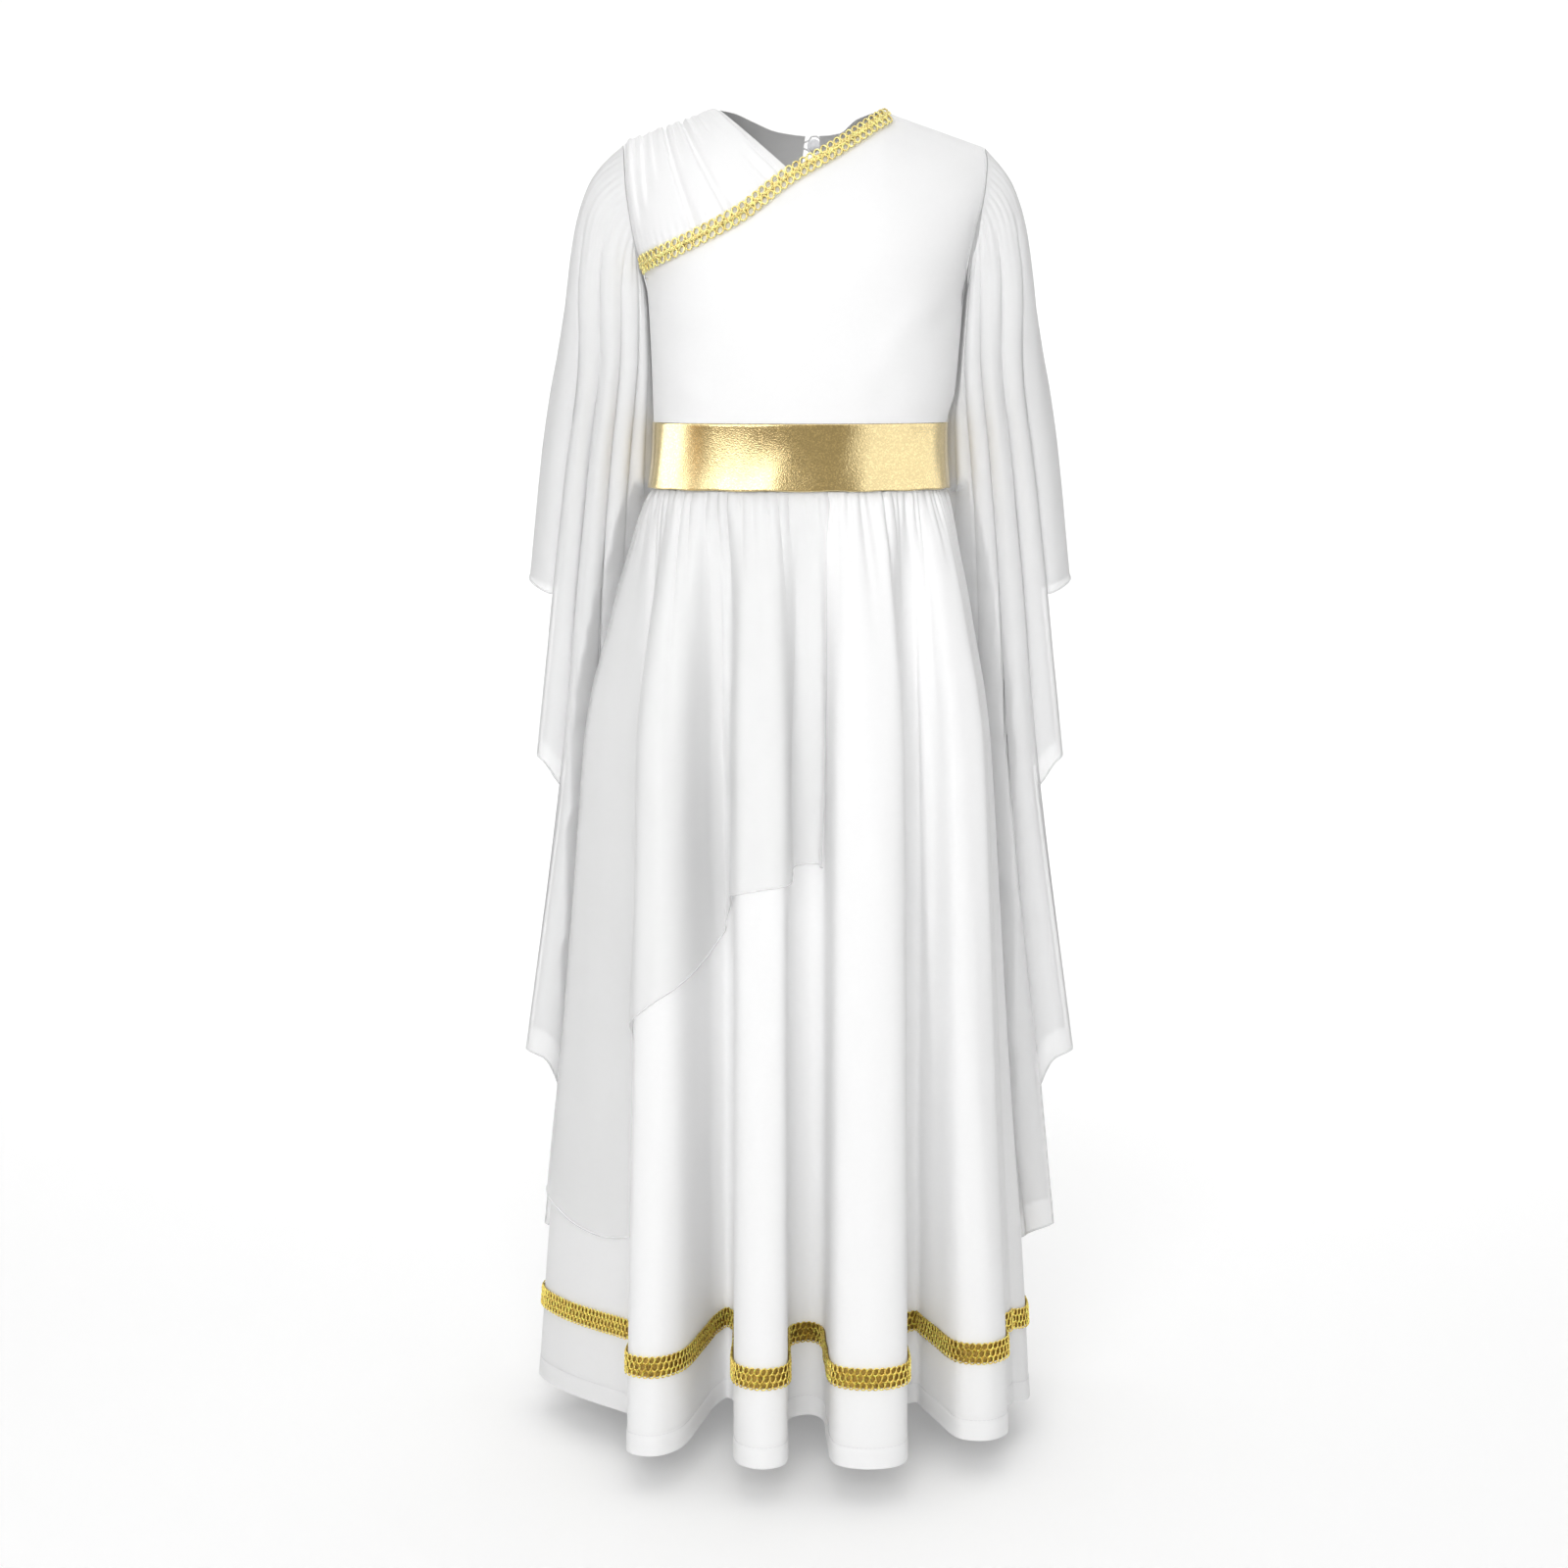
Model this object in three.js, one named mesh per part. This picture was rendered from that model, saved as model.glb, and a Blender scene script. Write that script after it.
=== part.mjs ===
// A girl's Grecian costume dress, filled out as it is when worn, with nobody in it.
// Millimetres, +Z up. +X is the wearer's left, -Y is the front.
// The origin is the middle of the shoulder line, where the wearer holds the dress up.
import * as THREE from 'three';

// Cloth and trim
const JERSEY = 1.2;
const CHIFFON = 1.0;
const FOIL = 1.6;
const BRAID = 1.2;
const SEAM_GAP = 0.3;

// Heights of the seams and the hem
const NECK_TOP = 13;
const SHOULDER_SLOPE = 0.35;
const NECK_HALF = 61.5;
const WAISTBAND_TOP = -225.5;
const WAISTBAND_BOTTOM = -276.2;
const SKIRT_TOP = -276.5;
const HEM = -1011;
const TRIM_TOP = -933.3;
const TRIM_BOTTOM = -950;

// The torso: half width on each side, and how square the section is, at each height
const TORSO = [
  { z: -276.5, left: 113.6, right: 114.8, square: 2.2 },
  { z: -225.5, left: 115.3, right: 114.5, square: 2.2 },
  { z: -202, left: 121.2, right: 115.1, square: 2.25 },
  { z: -164, left: 124.7, right: 116.4, square: 2.3 },
  { z: -120, left: 128.8, right: 119.1, square: 2.4 },
  { z: -86, left: 139, right: 129.5, square: 2.7 },
  { z: -50, left: 147, right: 138, square: 3 },
  { z: -10, left: 150, right: 144, square: 3 },
];

// How far the cloth stands in front of and behind the shoulder line, by its drop below it
const DEPTH = [
  { drop: 0, front: 0, back: 0 },
  { drop: 4, front: 12, back: 14 },
  { drop: 10, front: 23, back: 28 },
  { drop: 18, front: 34, back: 42 },
  { drop: 32, front: 50, back: 57 },
  { drop: 55, front: 68, back: 70 },
  { drop: 90, front: 86, back: 80 },
  { drop: 130, front: 95, back: 87 },
  { drop: 180, front: 90, back: 86 },
  { drop: 238, front: 80, back: 80 },
];

// The armhole edge of the bodice, distance from the middle on each side
const ARMHOLE = [
  { z: -120, left: 128.8, right: 119.1 },
  { z: -99, left: 132, right: 124.2 },
  { z: -83, left: 136, right: 127.8 },
  { z: -64, left: 138.6, right: 131 },
  { z: -45, left: 142, right: 133.4 },
  { z: -26, left: 143.6, right: 134.8 },
  { z: -13, left: 141.4, right: 135.6 },
];
const UNDERARM = -119.6;

// The slanted seam under the gold braid, from the right armhole to the left neck point
const SLANT = [
  { x: -124, z: -101.5 },
  { x: -94, z: -89.5 },
  { x: -49, z: -67 },
  { x: -12, z: -38.8 },
  { x: 25, z: -16.5 },
  { x: 66, z: 11.4 },
];
const SLANT_AT_V = 0.62;

// The back neckline, from its right end to its left end, and the slit below its middle
const BACK_NECK = [
  { x: -61.5, z: 13 },
  { x: -50, z: 11.5 },
  { x: -34, z: 6.3 },
  { x: -14, z: -0.3 },
  { x: 10, z: -3 },
  { x: 27, z: -1.5 },
  { x: 43, z: 8 },
  { x: 62, z: 13 },
];
const SLIT = { x: 10, foot: -100, top: -3, gape: 7, waistX: 0.4 };

// Gathers: on the shoulder panel and round the top of the skirt
const SHOULDER_GATHERS = 8;
const SHOULDER_GATHER_HEIGHT = 1.7;
const POINTS_PER_GATHER = 4;

// The skirt's organ-pipe folds at the hem, from the right side round the front and the back.
// A crest stands at x, y and faces an angle; its roll is left and right wide, and the valley
// after it lies at valleyX, valleyY. crest and valley are their angles at the waist.
const FOLDS = [
  { x: -213, y: 8, facing: 205, left: 20, right: 45, valleyX: -137, valleyY: -86, crest: 188, valley: 203 },
  { x: -114, y: -162, facing: 263, left: 22, right: 22, valleyX: -58, valleyY: -52, crest: 221, valley: 240 },
  { x: -30, y: -187, facing: 270, left: 20, right: 20, valleyX: 8, valleyY: -88, crest: 256, valley: 272 },
  { x: 56, y: -187, facing: 272, left: 32, right: 27, valleyX: 94, valleyY: -62, crest: 292, valley: 316 },
  { x: 147, y: -130, facing: 298, left: 22, right: 26, valleyX: 170, valleyY: -66, crest: 332, valley: 344 },
  { x: 188, y: -26, facing: 358, left: 20, right: 24, valleyX: 166, valleyY: 24, crest: 356, valley: 372 },
  { x: 166, y: 76, facing: 390, left: 22, right: 22, valleyX: 124, valleyY: 86, crest: 386, valley: 402 },
  { x: 112, y: 146, facing: 420, left: 22, right: 24, valleyX: 72, valleyY: 104, crest: 416, valley: 430 },
  { x: 40, y: 174, facing: 444, left: 25, right: 25, valleyX: -3, valleyY: 112, crest: 440, valley: 451 },
  { x: -48, y: 172, facing: 455, left: 24, right: 22, valleyX: -86, valleyY: 108, crest: 462, valley: 475 },
  { x: -124, y: 144, facing: 484, left: 24, right: 24, valleyX: -146, valleyY: 90, crest: 488, valley: 503 },
  { x: -182, y: 84, facing: 516, left: 22, right: 22, valleyX: -190, valleyY: 44, crest: 517, valley: 532 },
];
// How upright each fold's two walls are: 1 stands straight back, 0 slopes down to the valley
const UPRIGHT = {
  left: [0.3, 1, 1, 0.85, 0, 0.3, 0.5, 0.7, 0.6, 0.5, 0.7, 0.3],
  right: [0, 0.25, 1, 1, 0.4, 0.3, 0.3, 0.4, 0.7, 0.6, 0.4, 0.3],
};
const KNOTS_PER_FOLD = 8;
const COLUMNS_PER_FOLD = 8;
const VALLEY_LIFT = 5;

// How the skirt opens from the waist (0) to the hem (1): side follows the outline seen from
// the front, and front is how soon a fold reaches its own place across the front
const FLARE = [
  { fall: 0, side: 0, front: 0 },
  { fall: 0.055, side: 0.13, front: 0.25 },
  { fall: 0.108, side: 0.24, front: 0.45 },
  { fall: 0.161, side: 0.32, front: 0.64 },
  { fall: 0.214, side: 0.41, front: 0.8 },
  { fall: 0.268, side: 0.47, front: 0.9 },
  { fall: 0.43, side: 0.585, front: 0.96 },
  { fall: 0.65, side: 0.745, front: 0.98 },
  { fall: 0.876, side: 0.925, front: 0.99 },
  { fall: 1, side: 1, front: 1 },
];

// Rows of the skirt, with the height of the waist gathers on each; fine rows have every gather
const SKIRT_ROWS = [
  { z: SKIRT_TOP, gather: 1.8, fine: true },
  { z: -284, gather: 2.3, fine: true },
  { z: -306, gather: 1.5, fine: true },
  { z: -345, gather: 0, fine: false },
  { z: -405, gather: 0, fine: false },
  { z: -485, gather: 0, fine: false },
  { z: -585, gather: 0, fine: false },
  { z: -700, gather: 0, fine: false },
  { z: -820, gather: 0, fine: false },
  { z: TRIM_TOP, gather: 0, fine: false },
  { z: TRIM_BOTTOM, gather: 0, fine: false },
  { z: HEM, gather: 0, fine: false },
];

// The overskirt's lower edge, by fold number round the skirt (whole number = a fold's start)
const OVERSKIRT_EDGE = [
  { fold: -2.255, z: -640 },
  { fold: -1.752, z: -690 },
  { fold: -1.255, z: -735 },
  { fold: -0.753, z: -790 },
  { fold: -0.255, z: -812 },
  { fold: 0.075, z: -846 },
  { fold: 0.247, z: -856 },
  { fold: 0.505, z: -870 },
  { fold: 0.775, z: -866 },
  { fold: 1, z: -700 },
  { fold: 1.248, z: -660 },
  { fold: 1.745, z: -618 },
  { fold: 2.075, z: -582 },
  { fold: 2.375, z: -568 },
  { fold: 3, z: -560 },
];

// The sleeve: an open tube hung from the armhole and gathered into soft pipes.
// outer is its reach over the arm; centre, radius, middle and half set its oval section
const SLEEVE = [
  { z: -12, outer: 141, centre: 130, radius: 20, middle: 0, half: 10, pipe: 0 },
  { z: -21, outer: 151, centre: 134, radius: 24, middle: 0, half: 16, pipe: 1 },
  { z: -45, outer: 165, centre: 140, radius: 32, middle: 1, half: 27, pipe: 2.5 },
  { z: -82, outer: 175, centre: 144, radius: 41, middle: 5, half: 36, pipe: 4.5 },
  { z: -125, outer: 182.5, centre: 148, radius: 42, middle: 13, half: 42, pipe: 6 },
  { z: -172, outer: 191.5, centre: 149, radius: 41, middle: 25, half: 46, pipe: 7.5 },
  { z: -203, outer: 198.5, centre: 152, radius: 41, middle: 34, half: 47, pipe: 8.5 },
  { z: -250, outer: 207, centre: 159, radius: 44, middle: 48, half: 47, pipe: 9.5 },
  { z: -350, outer: 219.5, centre: 170, radius: 49, middle: 64, half: 47, pipe: 10.5 },
  { z: -500, outer: 238, centre: 183, radius: 57, middle: 76, half: 44, pipe: 11.5 },
  { z: -750, outer: 280, centre: 216, radius: 78, middle: 88, half: 40, pipe: 12 },
  { z: -905, outer: 310, centre: 235, radius: 76, middle: 94, half: 34, pipe: 12 },
];
const SLEEVE_SHIFT = 2;

// The sleeve's pipes round the arm (0 over the arm, 180 under it), and the hem of each,
// which falls in steps: first is the hem at the pipe's outer side, last at its inner side
const PIPES = [
  { from: -52, to: 53, columns: 7, first: -363, middle: -350, last: -363 },
  { from: 53, to: 80, columns: 4, first: -492, middle: -499, last: -520 },
  { from: 80, to: 105, columns: 4, first: -742, middle: -748, last: -775 },
  { from: 105, to: 128, columns: 4, first: -896, middle: -901, last: -909 },
  { from: 128, to: 150, columns: 4, first: -910, middle: -912, last: -914 },
  { from: 150, to: 209, columns: 5, first: -912, middle: -909, last: -912 },
  { from: 209, to: 232, columns: 4, first: -914, middle: -912, last: -908 },
  { from: 232, to: 256, columns: 4, first: -905, middle: -899, last: -893 },
  { from: 256, to: 281, columns: 4, first: -770, middle: -750, last: -740 },
  { from: 281, to: 308, columns: 4, first: -516, middle: -500, last: -490 },
];
const SLEEVE_LEVELS = [-20, -31, -48, -72, -102, -140, -190, -255, -340, -430, -520, -640, -770];
const BODY_CLEARANCE = 3;
const SKIRT_CLEARANCE = 6;

// The back fastening
const BUTTON_RADIUS = 5.5;
const BUTTON_Z = -10;
const LOOP_CORD = 1.5;

// Materials of the pieces
const finish = (color, roughness, metalness = 0) =>
  new THREE.MeshStandardMaterial({ color, roughness, metalness, side: THREE.DoubleSide });
const whiteJersey = () => finish(0xf6f6f6, 0.85);
const greyChiffon = () => finish(0xe4e4e5, 0.8);
const goldFoil = () => finish(0xd9b66a, 0.28, 0.9);
const goldBraid = () => finish(0xdcae2e, 0.4, 0.8);

// A smooth, never overshooting curve through one column of a table
function column(table, key, name) {
  const rows = [...table].sort((a, b) => a[key] - b[key]);
  const slope = rows.slice(1).map((row, i) => (row[name] - rows[i][name]) / (row[key] - rows[i][key]));
  const tangent = rows.map((row, i) => {
    if (i === 0) return slope[0];
    if (i === rows.length - 1) return slope[i - 1];
    const product = slope[i - 1] * slope[i];
    return product <= 0 ? 0 : (2 * product) / (slope[i - 1] + slope[i]);
  });
  return (value) => {
    const v = THREE.MathUtils.clamp(value, rows[0][key], rows[rows.length - 1][key]);
    let i = 0;
    while (i < rows.length - 2 && v > rows[i + 1][key]) i += 1;
    const span = rows[i + 1][key] - rows[i][key];
    const s = (v - rows[i][key]) / span;
    const rise = rows[i + 1][name] - rows[i][name];
    const leaving = tangent[i] * span;
    const arriving = tangent[i + 1] * span;
    const square = 3 * rise - 2 * leaving - arriving;
    const cube = leaving + arriving - 2 * rise;
    return rows[i][name] + leaving * s + square * s * s + cube * s * s * s;
  };
}

const mix = (a, b, s) => a + (b - a) * s;
const radians = THREE.MathUtils.degToRad;

// Cloth is first a single surface of points and triangles, then a wall
class Surface {
  constructor() {
    this.points = [];
    this.normals = [];
    this.triangles = [];
  }

  // A strip is a line of points with a number along it; place gives each point
  strip(places, keys) {
    return places.map((place, i) => {
      this.points.push(place);
      return { index: this.points.length - 1, key: keys[i] };
    });
  }

  // Joins two neighbouring strips, which may have different counts of points
  join(a, b) {
    const triangle = (p, q, r) => this.triangles.push([p.index, q.index, r.index]);
    let i = 0;
    let j = 0;
    while (i < a.length - 1 || j < b.length - 1) {
      const stepA = i < a.length - 1 ? a[i + 1].key : Infinity;
      const stepB = j < b.length - 1 ? b[j + 1].key : Infinity;
      if (stepA <= stepB) {
        triangle(a[i], a[i + 1], b[j]);
        i += 1;
      } else {
        triangle(a[i], b[j + 1], b[j]);
        j += 1;
      }
    }
  }

  // Normals at the points, from the triangles round each, weighted by their corner angles
  findNormals() {
    this.normals = this.points.map(() => new THREE.Vector3());
    for (const corners of this.triangles) {
      const [a, b, c] = corners.map((index) => this.points[index]);
      const face = b.clone().sub(a).cross(c.clone().sub(a)).normalize();
      corners.forEach((index, k) => {
        const here = this.points[index];
        const next = this.points[corners[(k + 1) % 3]].clone().sub(here);
        const last = this.points[corners[(k + 2) % 3]].clone().sub(here);
        this.normals[index].addScaledVector(face, next.angleTo(last));
      });
    }
    this.normals.forEach((normal) => normal.normalize());
  }

  // Turns all the normals over if the one at a point doesn't face along a direction
  faceAlong(direction, index) {
    if (this.normals[index].dot(direction) < 0) this.normals.forEach((normal) => normal.negate());
  }

  // The closed wall between two distances along the normals, with its edges joined
  wall(inside, outside) {
    const count = this.points.length;
    const faceOut = this.triangles.reduce((sum, [a, b, c]) => {
      const first = this.points[b].clone().sub(this.points[a]);
      const second = this.points[c].clone().sub(this.points[a]);
      return sum + Math.sign(first.cross(second).dot(this.normals[a]));
    }, 0) > 0;
    const faces = this.triangles.map(([a, b, c]) => (faceOut ? [a, b, c] : [a, c, b]));
    const edges = new Map();
    for (const [a, b, c] of faces) {
      for (const [from, to] of [[a, b], [b, c], [c, a]]) {
        if (!edges.delete(`${to},${from}`)) edges.set(`${from},${to}`, [from, to]);
      }
    }
    const index = [];
    for (const [a, b, c] of faces) {
      index.push(a, b, c);
      index.push(a + count, c + count, b + count);
    }
    for (const [from, to] of edges.values()) {
      index.push(to, from, from + count);
      index.push(to, from + count, to + count);
    }
    const positions = [];
    for (const distance of [outside, inside]) {
      this.points.forEach((point, k) => {
        positions.push(...point.clone().addScaledVector(this.normals[k], distance).toArray());
      });
    }
    const geometry = new THREE.BufferGeometry();
    geometry.setAttribute('position', new THREE.Float32BufferAttribute(positions, 3));
    geometry.setIndex(index);
    return geometry;
  }
}

// The torso's form
const torso = {
  left: column(TORSO, 'z', 'left'),
  right: column(TORSO, 'z', 'right'),
  square: column(TORSO, 'z', 'square'),
  front: column(DEPTH, 'drop', 'front'),
  back: column(DEPTH, 'drop', 'back'),
};
const armhole = { left: column(ARMHOLE, 'z', 'left'), right: column(ARMHOLE, 'z', 'right') };

function shoulderHeight(x) {
  const past = Math.abs(x) - NECK_HALF;
  return NECK_TOP - SHOULDER_SLOPE * 0.5 * (past + Math.sqrt(past * past + 9));
}

// How far the torso's cloth lies in front of (or behind) the side seams at x, z
function torsoDepth(face, x, z) {
  const half = x < 0 ? torso.right(z) : torso.left(z);
  const square = torso.square(z);
  const across = Math.max(0, 1 - Math.abs(x / half) ** square) ** (1 / square);
  return torso[face](Math.max(0, shoulderHeight(x) - z)) * across;
}

// The edge of a bodice panel at a height: the side seam, then the armhole
function panelEdge(side, z) {
  const sign = side === 'left' ? 1 : -1;
  return sign * (z < UNDERARM ? torso[side](z) : armhole[side](z));
}

// A point of the bodice, on its front or back face, and the way that the cloth faces there
function bodicePoint(face, x, z, raise = 0) {
  const sign = face === 'front' ? -1 : 1;
  const depth = torsoDepth(face, x, z);
  const step = 0.5;
  const slopeX = (torsoDepth(face, x + step, z) - torsoDepth(face, x - step, z)) / (2 * step);
  const slopeZ = (torsoDepth(face, x, z + step) - torsoDepth(face, x, z - step)) / (2 * step);
  const normal = new THREE.Vector3(-slopeX, depth < 0.5 ? 0 : sign, -slopeZ).normalize();
  const point = new THREE.Vector3(x, sign * (depth + SEAM_GAP / 2), z);
  return { point: point.addScaledVector(normal, raise), normal };
}

// A place along a line of x, z points, by its share of their number, on a smooth curve
function alongLine(line, share) {
  const points = line.map((p) => new THREE.Vector3(p.x, 0, p.z));
  const curve = new THREE.CatmullRomCurve3(points, false, 'centripetal');
  const place = curve.getPoint(THREE.MathUtils.clamp(share, 0, 1));
  return { x: place.x, z: place.z };
}

// A panel of the bodice, filled in between its four edges
function bodicePanel({ face, bottom, top, first, last, across, up, closer, raise = () => 0 }) {
  const surface = new Surface();
  const columns = [];
  for (const u of across) {
    const places = [];
    const keys = [];
    for (let j = 0; j <= up; j += 1) {
      const v = 1 - (1 - j / up) ** closer;
      const blend = (axis) => mix(first(v)[axis], last(v)[axis], u) + mix(bottom(u)[axis], top(u)[axis], v)
        - mix(mix(bottom(0)[axis], bottom(1)[axis], u), mix(top(0)[axis], top(1)[axis], u), v);
      const made = bodicePoint(face, blend('x'), blend('z'), raise(u, v));
      places.push(made.point);
      keys.push(v);
      surface.normals.push(made.normal);
    }
    columns.push(surface.strip(places, keys));
  }
  columns.slice(1).forEach((next, i) => surface.join(columns[i], next));
  return surface.wall(-JERSEY, 0);
}

// Shares across a panel, closer together near the ends that are rounded
const shares = (count, roundness) => Array.from({ length: count + 1 }, (_, i) => {
  const even = i / count;
  return mix(even, 0.5 - 0.5 * Math.cos(Math.PI * even), roundness);
});

const waistEdge = (from, to) => (u) => ({ x: mix(from, to, u), z: WAISTBAND_TOP + SEAM_GAP });
const sideEdge = (side, low, high) => (v) => {
  const z = mix(low, high, v);
  return { x: panelEdge(side, z), z };
};
const shoulderTip = (side) => {
  const x = (side === 'left' ? 1 : -1) * armhole[side](NECK_TOP);
  return { x, z: shoulderHeight(x) };
};
const shoulderSeam = (side, neckX) => (share) => {
  const x = mix(shoulderTip(side).x, neckX, share);
  return { x, z: shoulderHeight(x) };
};

function bodiceFront() {
  const low = WAISTBAND_TOP + SEAM_GAP;
  const slantShare = 0.72;
  const seam = shoulderSeam('left', SLANT[SLANT.length - 1].x);
  const top = (u) => {
    if (u > slantShare) return seam(1 - (u - slantShare) / (1 - slantShare));
    const place = alongLine(SLANT, u / slantShare);
    return { x: place.x, z: place.z - SEAM_GAP / 2 };
  };
  return bodicePanel({
    face: 'front',
    bottom: waistEdge(-torso.right(low), torso.left(low)),
    top,
    first: sideEdge('right', low, top(0).z),
    last: sideEdge('left', low, top(1).z),
    across: shares(22, 0.5),
    up: 9,
    closer: 1.4,
  });
}

// The gathered shoulder panel: its pleats run from the shoulder seam to the slanted seam
function shoulderDrape() {
  const bottom = (u) => {
    const place = alongLine(SLANT, u * SLANT_AT_V);
    return { x: place.x, z: place.z + SEAM_GAP / 2 };
  };
  const top = shoulderSeam('right', -NECK_HALF);
  return bodicePanel({
    face: 'front',
    bottom,
    top,
    first: sideEdge('right', bottom(0).z, top(0).z),
    last: (v) => ({ x: mix(bottom(1).x, top(1).x, v), z: mix(bottom(1).z, top(1).z, v) }),
    across: shares(SHOULDER_GATHERS * POINTS_PER_GATHER, 0),
    up: 6,
    closer: 1.3,
    raise: (u, v) => {
      const middle = Math.sin(Math.PI * Math.min(1, v * 1.25 + 0.02)) ** 0.6;
      const held = v < 0.01 ? 0 : Math.max(middle, 0.3 * v);
      const edges = Math.min(1, 6 * u, 6 * (1 - u));
      const wave = 0.5 - 0.5 * Math.cos(2 * Math.PI * SHOULDER_GATHERS * u);
      return SHOULDER_GATHER_HEIGHT * wave * edges * held;
    },
  });
}

// Half the back, from the side to the centre seam and the slit above it
function bodiceBack(side) {
  const sign = side === 'left' ? 1 : -1;
  const low = WAISTBAND_TOP + SEAM_GAP;
  const neckEnd = side === 'left' ? BACK_NECK[BACK_NECK.length - 1] : BACK_NECK[0];
  const middleShare = 4 / (BACK_NECK.length - 1);
  const seamShare = 0.55;
  const seam = shoulderSeam(side, neckEnd.x);
  const centre = (v) => {
    const z = mix(low, SLIT.top, v);
    const open = THREE.MathUtils.clamp((z - SLIT.foot) / (SLIT.top - SLIT.foot), 0, 1);
    const gape = SLIT.gape * Math.sin(Math.PI * open * 0.72);
    return { x: mix(SLIT.waistX, SLIT.x, v) + sign * (SEAM_GAP / 2 + gape), z };
  };
  const top = (u) => {
    if (u < seamShare) return seam(u / seamShare);
    const along = (u - seamShare) / (1 - seamShare);
    const share = side === 'left' ? mix(1, middleShare, along) : mix(0, middleShare, along);
    const place = alongLine(BACK_NECK, share);
    return { x: place.x + sign * along * Math.abs(centre(1).x - SLIT.x), z: place.z };
  };
  return bodicePanel({
    face: 'back',
    bottom: waistEdge(panelEdge(side, low), centre(0).x),
    top,
    first: sideEdge(side, low, top(0).z),
    last: centre,
    across: shares(11, 0.25).map((u) => u ** 1.15),
    up: 9,
    closer: 1.5,
  });
}

// The braid over the slanted seam. It stands off the gathered panel near the armhole, where the
// chest turns most, and its end follows the armhole
const NECK_BRAID = {
  width: 15.5,
  above: 3,
  standOff: 0.7,
  steps: 26,
  endDrop: 5,
  armholeMargin: 3.6,
  lift: 1.4,
  liftFrom: 84,
  liftTo: 112,
};
function neckBraid() {
  const surface = new Surface();
  const rows = [];
  for (let i = 0; i <= NECK_BRAID.steps; i += 1) {
    const share = i / NECK_BRAID.steps;
    const here = alongLine(SLANT, share);
    const before = alongLine(SLANT, share - 0.02);
    const after = alongLine(SLANT, share + 0.02);
    const length = Math.hypot(after.x - before.x, after.z - before.z);
    const up = { x: -(after.z - before.z) / length, z: (after.x - before.x) / length };
    const places = [];
    const keys = [];
    for (const across of [0, 0.34, 0.67, 1]) {
      const offset = NECK_BRAID.above - NECK_BRAID.width * across;
      const drop = i === 0 ? NECK_BRAID.endDrop * across : 0;
      const z = here.z + up.z * offset - drop;
      const edge = panelEdge('right', z) + NECK_BRAID.armholeMargin;
      const roof = shoulderHeight(here.x + up.x * offset) - SEAM_GAP;
      const x = Math.max(edge, here.x + up.x * offset);
      const lift = NECK_BRAID.lift * THREE.MathUtils.smoothstep(-x, NECK_BRAID.liftFrom, NECK_BRAID.liftTo);
      const made = bodicePoint('front', x, Math.min(z, roof), lift);
      places.push(made.point);
      keys.push(across);
      surface.normals.push(made.normal);
    }
    rows.push(surface.strip(places, keys));
  }
  rows.slice(1).forEach((next, i) => surface.join(rows[i], next));
  return surface.wall(NECK_BRAID.standOff, NECK_BRAID.standOff + BRAID);
}

// The waist's outline: the same for the bodice, the band and the skirt
const WAIST_DROP = NECK_TOP - WAISTBAND_TOP;
function waistPlace(angle, z, out = 0) {
  const a = radians(angle);
  const power = 2 / torso.square(z);
  const half = (Math.cos(a) < 0 ? torso.right(z) : torso.left(z)) + out;
  const depth = (Math.sin(a) < 0 ? torso.front(WAIST_DROP) : torso.back(WAIST_DROP)) + out;
  return new THREE.Vector3(
    half * Math.sign(Math.cos(a)) * Math.abs(Math.cos(a)) ** power,
    depth * Math.sign(Math.sin(a)) * Math.abs(Math.sin(a)) ** power,
    z,
  );
}

// The waistband is a little hollow between its two edges
const WAISTBAND_COLUMNS = 44;
const WAISTBAND_HOLLOW = 0.8;
function waistband() {
  const surface = new Surface();
  const columns = [];
  for (let i = 0; i < WAISTBAND_COLUMNS; i += 1) {
    const angle = (360 * i) / WAISTBAND_COLUMNS;
    const places = [0, 0.5, 1].map((share) => {
      const z = mix(WAISTBAND_TOP, WAISTBAND_BOTTOM, share);
      return waistPlace(angle, z, WAISTBAND_HOLLOW * (1 - Math.sin(Math.PI * share)));
    });
    columns.push(surface.strip(places, [0, 0.5, 1]));
  }
  columns.forEach((next, i) => surface.join(columns[(i + columns.length - 1) % columns.length], next));
  surface.findNormals();
  surface.faceAlong(new THREE.Vector3(1, 0, 0), 0);
  return surface.wall(-FOIL / 2, FOIL / 2);
}

// The skirt's outline as a closed curve through eight knots a fold
const flareSide = column(FLARE, 'fall', 'side');
const flareFront = column(FLARE, 'fall', 'front');

// The knots down one side of a fold: its rolled shoulder, its flank and the valley's edge
function foldSide(i, side) {
  const fold = FOLDS[i % FOLDS.length];
  const foot = side === 'right' ? fold : FOLDS[(i + FOLDS.length - 1) % FOLDS.length];
  const angle = radians(fold.facing);
  const out = new THREE.Vector2(Math.cos(angle), Math.sin(angle));
  const aside = new THREE.Vector2(-out.y, out.x).multiplyScalar(side === 'right' ? 1 : -1);
  const peak = new THREE.Vector2(fold.x, fold.y);
  const valley = new THREE.Vector2(foot.valleyX, foot.valleyY);
  const upright = UPRIGHT[side][i % FOLDS.length];
  const depth = Math.abs(peak.clone().sub(valley).dot(out));
  const at = (share, back) => peak.clone()
    .addScaledVector(aside, share * fold[side])
    .addScaledVector(out, -back * depth);
  const shoulder = at(0.78 + 0.1 * upright, 0.16 - 0.07 * upright);
  const slope = shoulder.clone().lerp(valley, 0.55);
  const flank = slope.clone().lerp(at(1, 0.56), upright);
  const edge = valley.clone().lerp(slope, 0.4).lerp(at(1, 0.93).lerp(valley, 0.12), upright);
  return { shoulder, flank, edge };
}

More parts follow.
